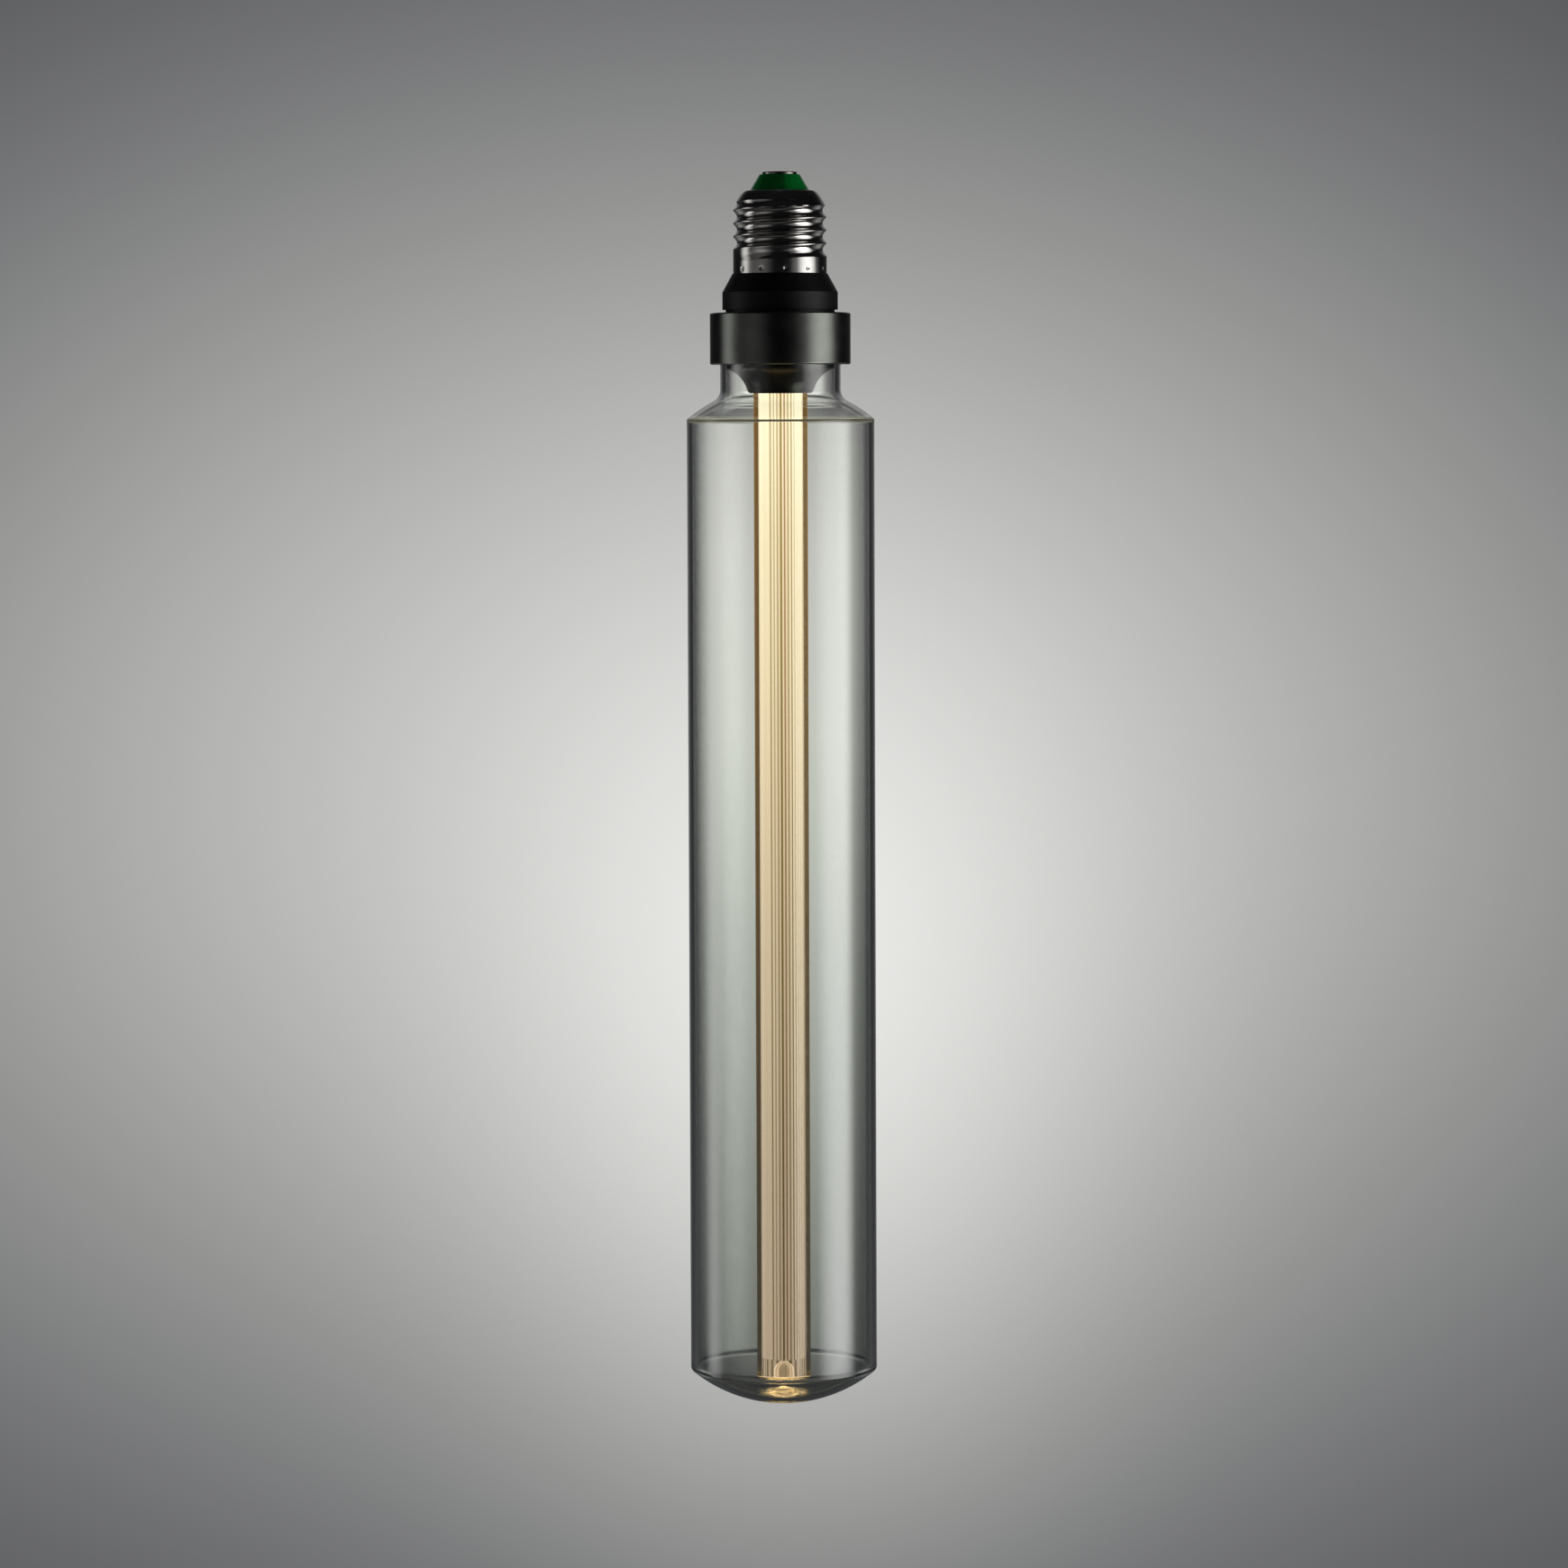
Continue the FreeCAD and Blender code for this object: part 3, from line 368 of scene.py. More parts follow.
def out_of_sight(cloth, light):
    """light, but 0 for sight that went through FACES faces or more and met fewer than MIRRORS mirrors."""
    path = add_node(cloth, "LightPath").outputs
    straight = add_node(cloth, "Math", {0: path["Transmission Depth"], 1: FACES - 0.5},
                        operation="GREATER_THAN")
    mirrored = add_node(cloth, "Math", {0: path["Glossy Depth"], 1: MIRRORS - 0.5},
                        operation="GREATER_THAN")
    hidden = add_node(cloth, "Math", {0: straight, 1: mirrored}, operation="SUBTRACT", use_clamp=True)
    shown = add_node(cloth, "Math", {0: 1.0, 1: hidden}, operation="SUBTRACT")
    return add_node(cloth, "Math", {0: light, 1: shown}, operation="MULTIPLY")


print("glass faces before a hidden box:", FACES)

# %% [markdown]
# Each box is an area lamp, taller than the bulb. Its breadth is given as the angle that it fills for the
# bulb, because that sets the breadth of its strip in the glass.

# %% Softboxes
BOX_DISTANCE, BOX_HEIGHT, BOX_LEVEL = 0.9, 1.4, -0.17


def softbox(name, bearing, breadth, radiance, low_gain=1.0):
    """A tall lamp that faces the bulb. bearing and breadth are degrees, from the camera's side towards +X. A
    lamp of area A that looks as bright as L gives L x pi x A watts."""
    data = bpy.data.lights.new(name, "AREA")
    data.shape = "RECTANGLE"
    data.size = 2 * BOX_DISTANCE * np.tan(radians(breadth / 2))
    data.size_y = BOX_HEIGHT
    data.energy = radiance * pi * data.size * data.size_y
    data.use_nodes = True
    cloth = data.node_tree
    plug(cloth.nodes["Emission"], {"Strength": out_of_sight(cloth, cloth_light(cloth, low_gain))})
    b = radians(bearing)
    stand = Vector((BOX_DISTANCE * np.sin(b), -BOX_DISTANCE * np.cos(b), BOX_LEVEL))
    lamp = bpy.data.objects.new(name, data)
    lamp.matrix_world = stand_and_face(stand, Vector((0, 0, BOX_LEVEL)))
    lamp.visible_camera = False
    bpy.context.scene.collection.objects.link(lamp)
    print(name, "watts:", round(data.energy, 2))


softbox("right_key", 71, 62, 2.65, low_gain=2.0)
softbox("right_wing", 46, 46, 0.22)
softbox("left_key", -96, 36, 0.9, low_gain=2.0)
softbox("left_fill", -56, 84, 0.11)

# %% [markdown]
# The glass
#
# The envelope is one piece of drawn tube, worked in the flame: a neck that goes up into the collar, a short
# domed shoulder, a straight tube and a domed end, all with one wall of 1.45 mm. It is open only at the top
# of the neck. The CAD's glass is a mesh of flat facets, and each facet bends light its own way, so the
# scene turns the same section again with fine steps. Its rounded corners are arcs that touch both of their
# neighbours.

# %% Rounded corners
GLASS_R, WALL, NECK_R, DOME_R = 26.2, 1.45, 16.8, 40.5
NECK_TOP, SHOULDER, TUBE_END = -46.5, -68.7, -335.4


def arc(centre, radius, start, end, steps):
    """Points of an arc: centre + radius (cos b, sin b), with b from start to end in degrees."""
    b = np.radians(np.linspace(start, end, steps))
    return np.stack([centre[0] + radius * np.cos(b), centre[1] + radius * np.sin(b)], axis=-1)


def fillet_inside(line_r, centre_z, dome, radius):
    """The arc in the hollow corner between the upright line at line_r and the dome, below the neck. Its
    middle is radius from the line and dome + radius from the dome's middle."""
    across = line_r + radius
    up = centre_z + ((dome + radius) ** 2 - across ** 2) ** 0.5
    lean = np.degrees(np.arctan2(up - centre_z, across))
    return arc((across, up), radius, 180, 180 + lean, steps=16), lean


def round_outside(line_r, centre_z, dome, radius, sign):
    """The arc that rounds the corner between the upright line at line_r and a dome above (sign 1) or below
    (-1). Its middle is radius from the line and dome - radius from the dome's middle."""
    across = line_r - radius
    up = centre_z + sign * ((dome - radius) ** 2 - across ** 2) ** 0.5
    lean = np.degrees(np.arctan2(abs(up - centre_z), across))
    return arc((across, up), radius, 0, sign * lean, steps=14), lean


rim_drop = (DOME_R ** 2 - GLASS_R ** 2) ** 0.5
print("each dome's middle is", round(rim_drop, 2), "mm from the plane of its rim")

# %% [markdown]
# A tube closed in the flame gathers glass at the pole of its end, so the wall gets a thicker spot there, a
# button with the shape of a bell on its inner face.

# %% Glass section
THROAT_R, BUTTON, BUTTON_R, TUBE_RINGS, NECK_RINGS = 3.7, 2.5, 4.2, 40, 8


def glass_wall(radius, neck, dome, neck_round, shoulder_round, end_round):
    """One face of the wall, from the pole of the domed end up to the top of the neck."""
    low_centre, high_centre = TUBE_END + rim_drop, SHOULDER - rim_drop
    end, end_lean = round_outside(radius, low_centre, dome, end_round, -1)
    shoulder, shoulder_lean = round_outside(radius, high_centre, dome, shoulder_round, 1)
    throat, throat_lean = fillet_inside(neck, high_centre, dome, neck_round)
    bowl = arc((0, low_centre), dome, -90, -end_lean, steps=90)
    hill = arc((0, high_centre), dome, shoulder_lean, throat_lean, steps=18)
    tube_z = np.linspace(end[0][1], shoulder[0][1], TUBE_RINGS + 2)[1:-1]
    tube = np.stack([np.full(TUBE_RINGS, radius), tube_z], axis=-1)
    spout_z = np.linspace(throat[0][1], NECK_TOP, NECK_RINGS + 1)[1:]
    spout = np.stack([np.full(NECK_RINGS, neck), spout_z], axis=-1)
    return np.concatenate([bowl, end[::-1][1:], tube, shoulder, hill[1:], throat[::-1][1:], spout])


outer = glass_wall(GLASS_R, NECK_R, DOME_R, THROAT_R, shoulder_round=0.5, end_round=1.4)
inner = glass_wall(GLASS_R - WALL, NECK_R - WALL, DOME_R - WALL, THROAT_R + WALL, shoulder_round=0.8,
                   end_round=2.2)
inner[:, 1] += BUTTON * np.exp(-(inner[:, 0] / BUTTON_R) ** 2) * (inner[:, 1] < TUBE_END)
section = np.concatenate([outer, inner[::-1]]) * MM
glass = turn("glass_tube", np.abs(section[:, 0]), section[:, 1], sides=160)
print("glass section points:", len(section), "lowest point in mm:", round(section[:, 1].min() / MM, 2))

# %% [markdown]
# The finish is borosilicate glass, drawn: its IOR is 1.47 and its faces are perfectly smooth. Both faces of
# the wall bend light, so the rims go dark by themselves. Its colour is painted shade: it darkens towards the
# tube's lower end and tints what goes through it.

# %% Glass with painted shade
BULB_END, BULB_NECK = -345.0, -45.0
shaded_glass, tree, shader, place = start_material("borosilicate glass, drawn and lightly smoked")
height = add_node(tree, "SeparateXYZ", {0: place}).outputs["Z"]
up = add_node(tree, "MapRange", {"Value": height, "From Min": BULB_END * MM, "From Max": BULB_NECK * MM})
# Painted shade: the glass's colour darkens from clear at the neck to grey at the domed end.
painted_shade = add_node(tree, "ValToRGB", {0: up}, stops=[
    (0.0, "#c5c8c4"), (0.22, "#d2d5d1"), (0.42, "#e0e3df"), (0.62, "#f3f5f1"), (0.8, "#fefffc")])
plug(shader, {"Base Color": painted_shade, "Transmission Weight": 1.0, "Roughness": 0.0, "IOR": 1.47})
print("the smoke changes over", BULB_NECK - BULB_END, "mm")

# %% [markdown]
# Light from the rod also runs inside the wall. A little of it leaves at the bend of the shoulder's inner
# face, as a fine pale line. A renderer needs very many rays to find that way out, so the line is given as
# emission.

# %% Light at the shoulder
BEND_LEVEL, BEND_REACH, BEND_R, BEND_LIGHT = SHOULDER - 0.3, 0.5, GLASS_R - 0.8, (0.085, 0.078, 0.05)
to_axis = from_axis(tree, place)
inside = add_node(tree, "Math", {0: to_axis, 1: BEND_R * MM}, operation="LESS_THAN")
at_bend = add_node(tree, "Math", {0: height, 1: BEND_LEVEL * MM, 2: BEND_REACH * MM}, operation="COMPARE")
bend = add_node(tree, "Math", {0: inside, 1: at_bend}, operation="MULTIPLY")
bend = add_node(tree, "VectorMath", {0: BEND_LIGHT, "Scale": bend}, operation="SCALE")
print("pale line at", BEND_LEVEL, "mm")

# %% [markdown]
# The rod's end shines on the button at the pole, and the glass there, worked in the flame, breaks the light
# into streaks of about 2.4 by 0.7 mm. That light is painted on the glass as emission. It is golden, as light
# is that has come the whole length of the rod.

# %% Light at the pole
BUTTON_LEVEL, BUTTON_REACH, PATCH_R, PATCH_CORE, GOLD = -342.2, 1.5, 8.0, 2.5, (1.6, 1.04, 0.4)


def stretched_noise(tree, place, scale, detail):
    """Noise whose marks have a size of their own along each axis: 1 / scale."""
    stretched = add_node(tree, "Mapping", {"Vector": place, "Scale": scale})
    return add_node(tree, "TexNoise", {"Vector": stretched, "Scale": 1.0, "Detail": detail})


patch = add_node(tree, "MapRange", {"Value": to_axis, "From Min": PATCH_R * MM,
                                    "From Max": PATCH_CORE * MM}, interpolation_type="SMOOTHSTEP")
on_button = add_node(tree, "Math", {0: height, 1: BUTTON_LEVEL * MM, 2: BUTTON_REACH * MM},
                     operation="COMPARE")
streaks = stretched_noise(tree, place, (420.0, 420.0, 1500.0), detail=2.0)
streaks = add_node(tree, "MapRange", {"Value": streaks, "From Min": 0.44, "From Max": 0.6, "To Min": 0.12})
patch = add_node(tree, "Math", {0: patch, 1: on_button}, operation="MULTIPLY")
patch = add_node(tree, "Math", {0: patch, 1: streaks}, operation="MULTIPLY")
patch = add_node(tree, "VectorMath", {0: GOLD, "Scale": patch}, operation="SCALE")
wall_light = add_node(tree, "VectorMath", {0: bend, 1: patch}, operation="ADD")
plug(shader, {"Emission Color": wall_light, "Emission Strength": 1.0})
print("bright patch across in mm:", 2 * PATCH_R)

# %% [markdown]
# The renderer asks with a shadow ray whether a lamp reaches a point, and clear glass would stop that ray as
# a wall does. So shadow rays meet a see-through shader instead, which takes a tenth of their light at each
# face.

# %% Shadow rays
def let_light_through(tree, shader, tint):
    """The shader for all rays but shadow rays, which pass straight on and are multiplied by tint."""
    through = add_node(tree, "BsdfTransparent", {"Color": tint})
    is_shadow = add_node(tree, "LightPath").outputs["Is Shadow Ray"]
    either = add_node(tree, "MixShader", {0: is_shadow, 1: shader, 2: through})
    plug(tree.nodes["Material Output"], {"Surface": either})


let_light_through(tree, shader, (0.9, 0.91, 0.9, 1))
glass.data.materials.append(shaded_glass)
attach(glass, "root")
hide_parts("glass_envelope")
print("glass finish nodes:", len(tree.nodes))

# %% [markdown]
# The light guide
#
# The rod is clear cast acrylic, 15.1 mm thick, with a blind hole in its lower end, whose inner end is
# round. The grooves that let light out stand deep inside, and the rod's round surface works as a lens that
# widens them: a core of radius c looks 1.49 c wide. The bright band is 12.4 mm wide in the photograph, so
# the core is 8.3 mm. Two pieces stand for the CAD's one rod: the clear rod, and the lit core with its V
# grooves as real geometry.

# %% Clear rod
ROD_R, ROD_TOP, ROD_END, ROD_EDGE = 7.55, -44.2, -338.7, 0.25
HOLE_R, HOLE_DEEP, HOLE_TIP = 1.9, 5.5, 3.0
hole_end = arc((0, 0), 1.0, 90, 0, steps=12) * [HOLE_R, HOLE_TIP] + [0, ROD_END + HOLE_DEEP - HOLE_TIP]
end_edge = arc((ROD_R - ROD_EDGE, ROD_END + ROD_EDGE), ROD_EDGE, -90, 0, steps=6)
rod_side = [(ROD_R, z) for z in np.linspace(ROD_END + 1, ROD_TOP, 30)]
rod_line = np.concatenate([hole_end, [(HOLE_R, ROD_END)], end_edge, rod_side, [(0, ROD_TOP)]]) * MM
clear_rod = turn("clear_rod", np.abs(rod_line[:, 0]), rod_line[:, 1], sides=128)
print("rod length in mm:", round(ROD_TOP - ROD_END, 1))

# %% [markdown]
# Cast and polished acrylic has an IOR of 1.49 and hardly any haze. Seen edge on, the rod is amber, because
# sight runs a long way through it there. Layer Weight tells how edge-on a point is: 0 in the middle, 1 at
# the rim.

# %% Polished acrylic
acrylic, tree, shader, place = start_material("acrylic, cast and polished")
height = add_node(tree, "SeparateXYZ", {0: place}).outputs["Z"]
edge_on = add_node(tree, "LayerWeight", {"Blend": 0.5}).outputs["Facing"]
amber = add_node(tree, "ValToRGB", {0: edge_on}, stops=[
    (0.38, "#fbfaf2"), (0.58, "#8a7c50"), (1.0, "#5c5030")])
haze = add_node(tree, "TexNoise", {"Vector": place, "Scale": 900.0, "Detail": 2.0})
rough = add_node(tree, "MapRange", {"Value": haze, "To Min": 0.0, "To Max": 0.02})
plug(shader, {"Base Color": amber, "Roughness": rough, "Transmission Weight": 1.0, "IOR": 1.49})
print("haze marks in mm:", round(1000 / 900, 1))

# %% [markdown]
# The rod carries the light inside it, so its edge glows a little, and more near the source at the top.
# Light also leaves through the wall of the hole in its end, which is brightest edge on.

# %% Glow of the edge and the hole
LIT_END, LIT_START = -338.0, -55.0
edge_glow = add_node(tree, "ValToRGB", {0: edge_on}, stops=[
    (0.36, "#000000"), (0.48, "#543b16"), (1.0, "#6a4c20")])
along = add_node(tree, "MapRange", {"Value": height, "From Min": LIT_END * MM,
                                    "From Max": LIT_START * MM, "To Min": 0.25, "To Max": 1.6})
edge_glow = add_node(tree, "VectorMath", {0: edge_glow, "Scale": along}, operation="SCALE")
hole_glow = add_node(tree, "ValToRGB", {0: edge_on}, stops=[
    (0.22, "#170d06"), (0.4, "#7a5233"), (0.58, "#ffe4c0")])
in_hole = add_node(tree, "Math", {0: from_axis(tree, place), 1: (HOLE_R + 0.1) * MM}, operation="LESS_THAN")
rod_glow = add_node(tree, "Mix", {0: in_hole, FIRST: edge_glow, SECOND: hole_glow}, data_type="RGBA")
print("lit length in mm:", LIT_START - LIT_END)

# %% [markdown]
# The light that is left at the rod's end goes out through its flat end face. The face is bright where it is
# seen from outside, and weak where sight comes from inside the rod, because it would drown the hole's round
# end there.

# %% Glow of the end face
FACE_OUTSIDE, FACE_INSIDE = 13.0, 2.0
at_end = add_node(tree, "MapRange", {"Value": height, "From Min": (ROD_END + 0.45) * MM,
                                     "From Max": (ROD_END + 0.2) * MM})
end_glow = add_node(tree, "ValToRGB", {0: edge_on}, stops=[(0.3, "#80603a"), (0.7, "#f0c890")])
rod_glow = add_node(tree, "Mix", {0: at_end, FIRST: rod_glow, SECOND: end_glow}, data_type="RGBA")
from_inside = add_node(tree, "NewGeometry").outputs["Backfacing"]
end_power = add_node(tree, "Math", {0: from_inside, 1: FACE_INSIDE - FACE_OUTSIDE, 2: FACE_OUTSIDE},
                     operation="MULTIPLY_ADD")
power = add_node(tree, "MapRange", {"Value": height, "From Min": (ROD_END + 0.03) * MM,
                                    "From Max": (ROD_END + 0.005) * MM, "To Min": 1.0, "To Max": end_power})
plug(shader, {"Emission Color": rod_glow, "Emission Strength": power})
let_light_through(tree, shader, (1, 1, 1, 1))
clear_rod.data.materials.append(acrylic)
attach(clear_rod, "root")
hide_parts("light_guide")
print("rod finish nodes:", len(tree.nodes))

# %% [markdown]
# The lit core
#
# The core's section is a gear of 30 shallow V grooves: the radius drops by a sharp tooth at each groove.
# The grooves run the whole length of the rod.

# %% Lit core
CORE_R, CORE_GROOVES, CORE_END, CORE_RINGS = 4.16, 30, -338.4, 38
GROOVE_DEPTH, GROOVE_HALF = 0.35, 0.22
core_z = np.linspace(CORE_END, ROD_TOP - 0.4, CORE_RINGS)
core_r = np.concatenate([[0], [CORE_R] * CORE_RINGS, [CORE_R, 0]])
core_h = np.concatenate([[CORE_END], core_z, [ROD_TOP - 0.3, ROD_TOP - 0.3]])


def grooves(t, a):
    """Minus GROOVE_DEPTH at the middle of each groove, rising in straight flanks to 0 at GROOVE_HALF of a
    pitch to each side. The two poles stay on the axis."""
    phase = (a * CORE_GROOVES / (2 * pi)) % 1.0
    tooth = np.clip(1 - np.abs(phase - 0.5) / GROOVE_HALF, 0, 1)
    return np.where((t > 0) & (t < len(core_r) - 1), -GROOVE_DEPTH * MM * tooth, 0.0)


core = turn("lit_core", core_r * MM, core_h * MM, sides=CORE_GROOVES * 10, swell=grooves)
print("core radius in mm:", CORE_R, "groove pitch in mm:", round(2 * pi * CORE_R / CORE_GROOVES, 2))

# %% [markdown]
# The grooves' floors are darker than the lit acrylic between them, and no two are alike, because each was
# cut by its own stroke. So each groove has its number, and the number gives it a width and a darkness by
# chance.

# %% Where the grooves lie
lit, tree, shader, place = start_material("acrylic, grooved and lit from its end")


def around_and_along(tree, place):
    """The angle round the bulb's axis, in turns, and the height in metres."""
    axes = add_node(tree, "SeparateXYZ", {0: place}).outputs
    angle = add_node(tree, "Math", {0: axes["Y"], 1: axes["X"]}, operation="ARCTAN2")
    return add_node(tree, "Math", {0: angle, 1: 1 / (2 * pi)}, operation="MULTIPLY"), axes["Z"]


turns, height = around_and_along(tree, place)
pitches = add_node(tree, "Math", {0: turns, 1: float(CORE_GROOVES)}, operation="MULTIPLY")
number = add_node(tree, "Math", {0: pitches}, operation="FLOOR")
luck = add_node(tree, "TexWhiteNoise", {"W": number}, noise_dimensions="1D")
off = add_node(tree, "Math", {0: pitches}, operation="FRACT")
off = add_node(tree, "Math", {0: off, 1: 0.5}, operation="SUBTRACT")
off = add_node(tree, "Math", {0: off}, operation="ABSOLUTE")
# A floor ends 0.15 to 0.35 of a pitch from its groove's middle, over 0.09 of a pitch, and is 0.58 to 1
# dark.
flank = add_node(tree, "Math", {0: luck, 1: 0.20, 2: 0.15}, operation="MULTIPLY_ADD")
foot = add_node(tree, "Math", {0: flank, 1: 0.09}, operation="SUBTRACT")
in_groove = add_node(tree, "MapRange", {"Value": off, "From Min": flank, "From Max": foot})
deep = add_node(tree, "Math", {0: luck, 1: 0.45, 2: 0.58}, operation="MULTIPLY_ADD", use_clamp=True)
in_groove = add_node(tree, "Math", {0: in_groove, 1: deep}, operation="MULTIPLY")
print("groove numbers:", CORE_GROOVES)

# %% [markdown]
# Fine tool lines, about 0.15 mm apart, lie between the grooves. The photograph shows a plain strip along
# the rod's left edge and a narrow one along its right edge, where nothing was cut, so the marks fade there.
# side tells the place round the rod: 0 at -X, 0.25 in front, 0.5 at +X, and 1 when the turn is full.

# %% Tool lines and plain strips
TOOL_LINES = 170.0
around = add_node(tree, "CombineXYZ", {"X": turns, "Z": height})
scratch = stretched_noise(tree, around, (TOOL_LINES, 1.0, 1.2), detail=1.0)
scratch = add_node(tree, "MapRange", {"Value": scratch, "From Min": 0.5, "From Max": 0.68, "To Max": 0.45})
marks = add_node(tree, "Math", {0: in_groove, 1: scratch}, operation="MAXIMUM")
side = add_node(tree, "Math", {0: turns, 1: 0.5}, operation="ADD")
cut_here = add_node(tree, "ValToRGB", {0: side}, stops=[
    (0.0, 0.08), (0.125, 0.08), (0.15, 1.0), (0.455, 1.0), (0.48, 0.12), (0.50, 0.12), (0.515, 1.0),
    (0.98, 1.0), (1.0, 0.08)])
marks = add_node(tree, "Math", {0: marks, 1: cut_here}, operation="MULTIPLY")
print("tool line spacing in mm:", round(2 * pi * CORE_R / TOOL_LINES, 2))

# %% [markdown]
# The light is cream at the top, where the source is near, and more golden further down. Some grooves lean
# to yellow and some to pink, as light does that a sharp edge has bent.

# %% Colours of the light
OTHER_DRAW = 57.0
low_to_high = add_node(tree, "MapRange", {"Value": height, "From Min": LIT_END * MM,
                                          "From Max": LIT_START * MM})
cream = add_node(tree, "ValToRGB", {0: low_to_high}, stops=[
    (0.0, "#ffdfc0"), (0.12, "#ffe2c4"), (0.6, "#ffe8c4"), (0.85, "#fff0ca"), (1.0, "#fff8d8")])
dull = add_node(tree, "ValToRGB", {0: low_to_high}, stops=[
    (0.0, "#7d6a50"), (0.5, "#8c7447"), (1.0, "#a5874f")])
other_number = add_node(tree, "Math", {0: number, 1: OTHER_DRAW}, operation="ADD")
hue = add_node(tree, "TexWhiteNoise", {"W": other_number}, noise_dimensions="1D")
hue = add_node(tree, "ValToRGB", {0: hue}, stops=[(0.3, "#f6f6c8"), (0.55, "#ffffff"), (0.8, "#ffdcd8")])
dull = add_node(tree, "Mix", {0: 1.0, FIRST: dull, SECOND: hue}, data_type="RGBA", blend_type="MULTIPLY")
shine = add_node(tree, "Mix", {0: marks, FIRST: cream, SECOND: dull}, data_type="RGBA")
print("the light at the top is", [round(v, 2) for v in linear("#fff8d8")[:3]])

# %% [markdown]
# The rod loses light as it goes down: fast below the holder, then slowly. The acrylic under the light is
# set dark, so that the lamps add little to it.

# %% Strength of the light
TOP_POWER, END_SHARE = 1.22, 0.67
power = add_node(tree, "ValToRGB", {0: low_to_high}, stops=[
    (0.0, END_SHARE), (0.2, 0.68), (0.47, 0.75), (0.74, 0.85), (0.83, 0.87), (0.9, 0.95), (0.96, 1.0)])
power = add_node(tree, "Math", {0: power, 1: TOP_POWER}, operation="MULTIPLY")
plug(shader, {"Emission Color": shine, "Emission Strength": power})
plug(shader, {"Base Color": linear("#3a352a"), "Roughness": 0.5})
print("power at the rod's end:", round(TOP_POWER * END_SHARE, 2), "and at its top:", TOP_POWER)

# %% [markdown]
# Round the blind hole the lit layer is clear from outside, so that the hole shows before the layer's far
# half. The border is 0.6 mm wide and lies just above the hole's inner end.

# %% The core's clear end
CLEAR_START, CLEAR_FULL = -332.2, -332.8
backfacing = add_node(tree, "NewGeometry").outputs["Backfacing"]
outside = add_node(tree, "Math", {0: 1.0, 1: backfacing}, operation="SUBTRACT")
veil = add_node(tree, "MapRange", {"Value": height, "From Min": CLEAR_START * MM,
                                   "From Max": CLEAR_FULL * MM})
veil = add_node(tree, "Math", {0: veil, 1: outside}, operation="MULTIPLY")
clear = add_node(tree, "BsdfTransparent")
thin = add_node(tree, "MixShader", {0: veil, 1: shader, 2: clear})
plug(tree.nodes["Material Output"], {"Surface": thin})
core.data.materials.append(lit)
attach(core, "root")
print("core finish nodes:", len(tree.nodes))

# %% [markdown]
# The cap
#
# The shell is thin steel sheet, drawn to a cup and rolled between two dies to its thread. A sweep along a
# helix could make the thread, but rolling moves the sheet's own surface in and out, and so does this: the
# radius of a plain shell is changed at each height and angle.

# %% The shell without its thread
CREST_R, MOUTH_R, LIP = 13.05, 9.5, 0.3
SHELL_TOP, DOME_FOOT, LIP_TOP, SHELL_END = -5.2, -10.2, -27.75, -28.2


def plain_shell(z):
    """The radius at height z: a shoulder from MOUTH_R to CREST_R, 0.6 of it a cone and 0.4 a quarter
    ellipse, an upright wall, and a lip that flares by LIP."""
    t = np.clip((SHELL_TOP - z) / (SHELL_TOP - DOME_FOOT), 0, 1)
    dome = MOUTH_R + (CREST_R - MOUTH_R) * (0.6 * t + 0.4 * np.sqrt(1 - (1 - t) ** 2))
    return dome + LIP * np.clip((LIP_TOP - z) / LIP, 0, 1)


shell_z = np.linspace(SHELL_END, SHELL_TOP, 190)
# The inner face, from the mouth down: (radius, height) pairs.
liner = np.array([(8.4, SHELL_TOP), (8.4, -5.5), (MOUTH_R, -5.5), (11.65, -8.7), (11.65, -23.9),
                  (12.75, -25.0), (12.75, SHELL_END)])
shell_r = np.concatenate([plain_shell(shell_z), liner[:, 0]])
shell_h = np.concatenate([shell_z, liner[:, 1]])
print("shell height in mm:", round(SHELL_TOP - SHELL_END, 1))

# %% [markdown]
# The thread is the common one of 27 mm caps, with 7 turns to the inch. Below it, on the plain skirt, is a
# ring of small dents, where the shell was punched fast to the housing.

# %% Thread and dents
PITCH, GROOVE, BLUNT, THREAD_END, RUNOUT = 3.629, 1.1, 0.15, -21.62, radians(32)
DENTS, DENT_LEVEL, DENT_FIRST, DENT_R, DENT_DEPTH = 12, -27.0, radians(6.7), 0.45, 0.28


def thread_cut(z, a):
    """The groove's depth at height z and angle a. It winds right-handed. With u the distance from a crest in
    pitches and e = BLUNT it is GROOVE (sqrt(sin(pi u)^2 + e^2) - e) / (sqrt(1 + e^2) - e): narrow crests and
    round roots. Below its end the groove climbs out of the sheet over half a turn, at the slope RUNOUT."""
    lap = (z - THREAD_END) / PITCH - a / (2 * pi)
    nearest = np.round(lap)
    sine = np.sin(pi * (lap - nearest + 0.5))
    depth = np.clip(GROOVE + PITCH * np.tan(RUNOUT) * np.minimum(nearest + a / (2 * pi), 0), 0, None)
    return depth * (np.sqrt(sine ** 2 + BLUNT ** 2) - BLUNT) / (np.sqrt(1 + BLUNT ** 2) - BLUNT)


def dents(z, a):
    """Each dent is DENT_DEPTH exp(-(d / DENT_R)^2) deep at a distance d from its middle."""
    step = 2 * pi / DENTS
    across = ((a - DENT_FIRST + step / 2) % step - step / 2) * CREST_R
    return DENT_DEPTH * np.exp(-(across ** 2 + (z - DENT_LEVEL) ** 2) / DENT_R ** 2)


def rolled(t, a):
    """What the thread and the dents take from the plain shell's radius, on its outer face only."""
    z = shell_h[t]
    taken = np.minimum(shell_r[t], CREST_R - thread_cut(z, a)) - shell_r[t] - dents(z, a)
    return np.where(t < len(shell_z), taken, 0.0) * MM


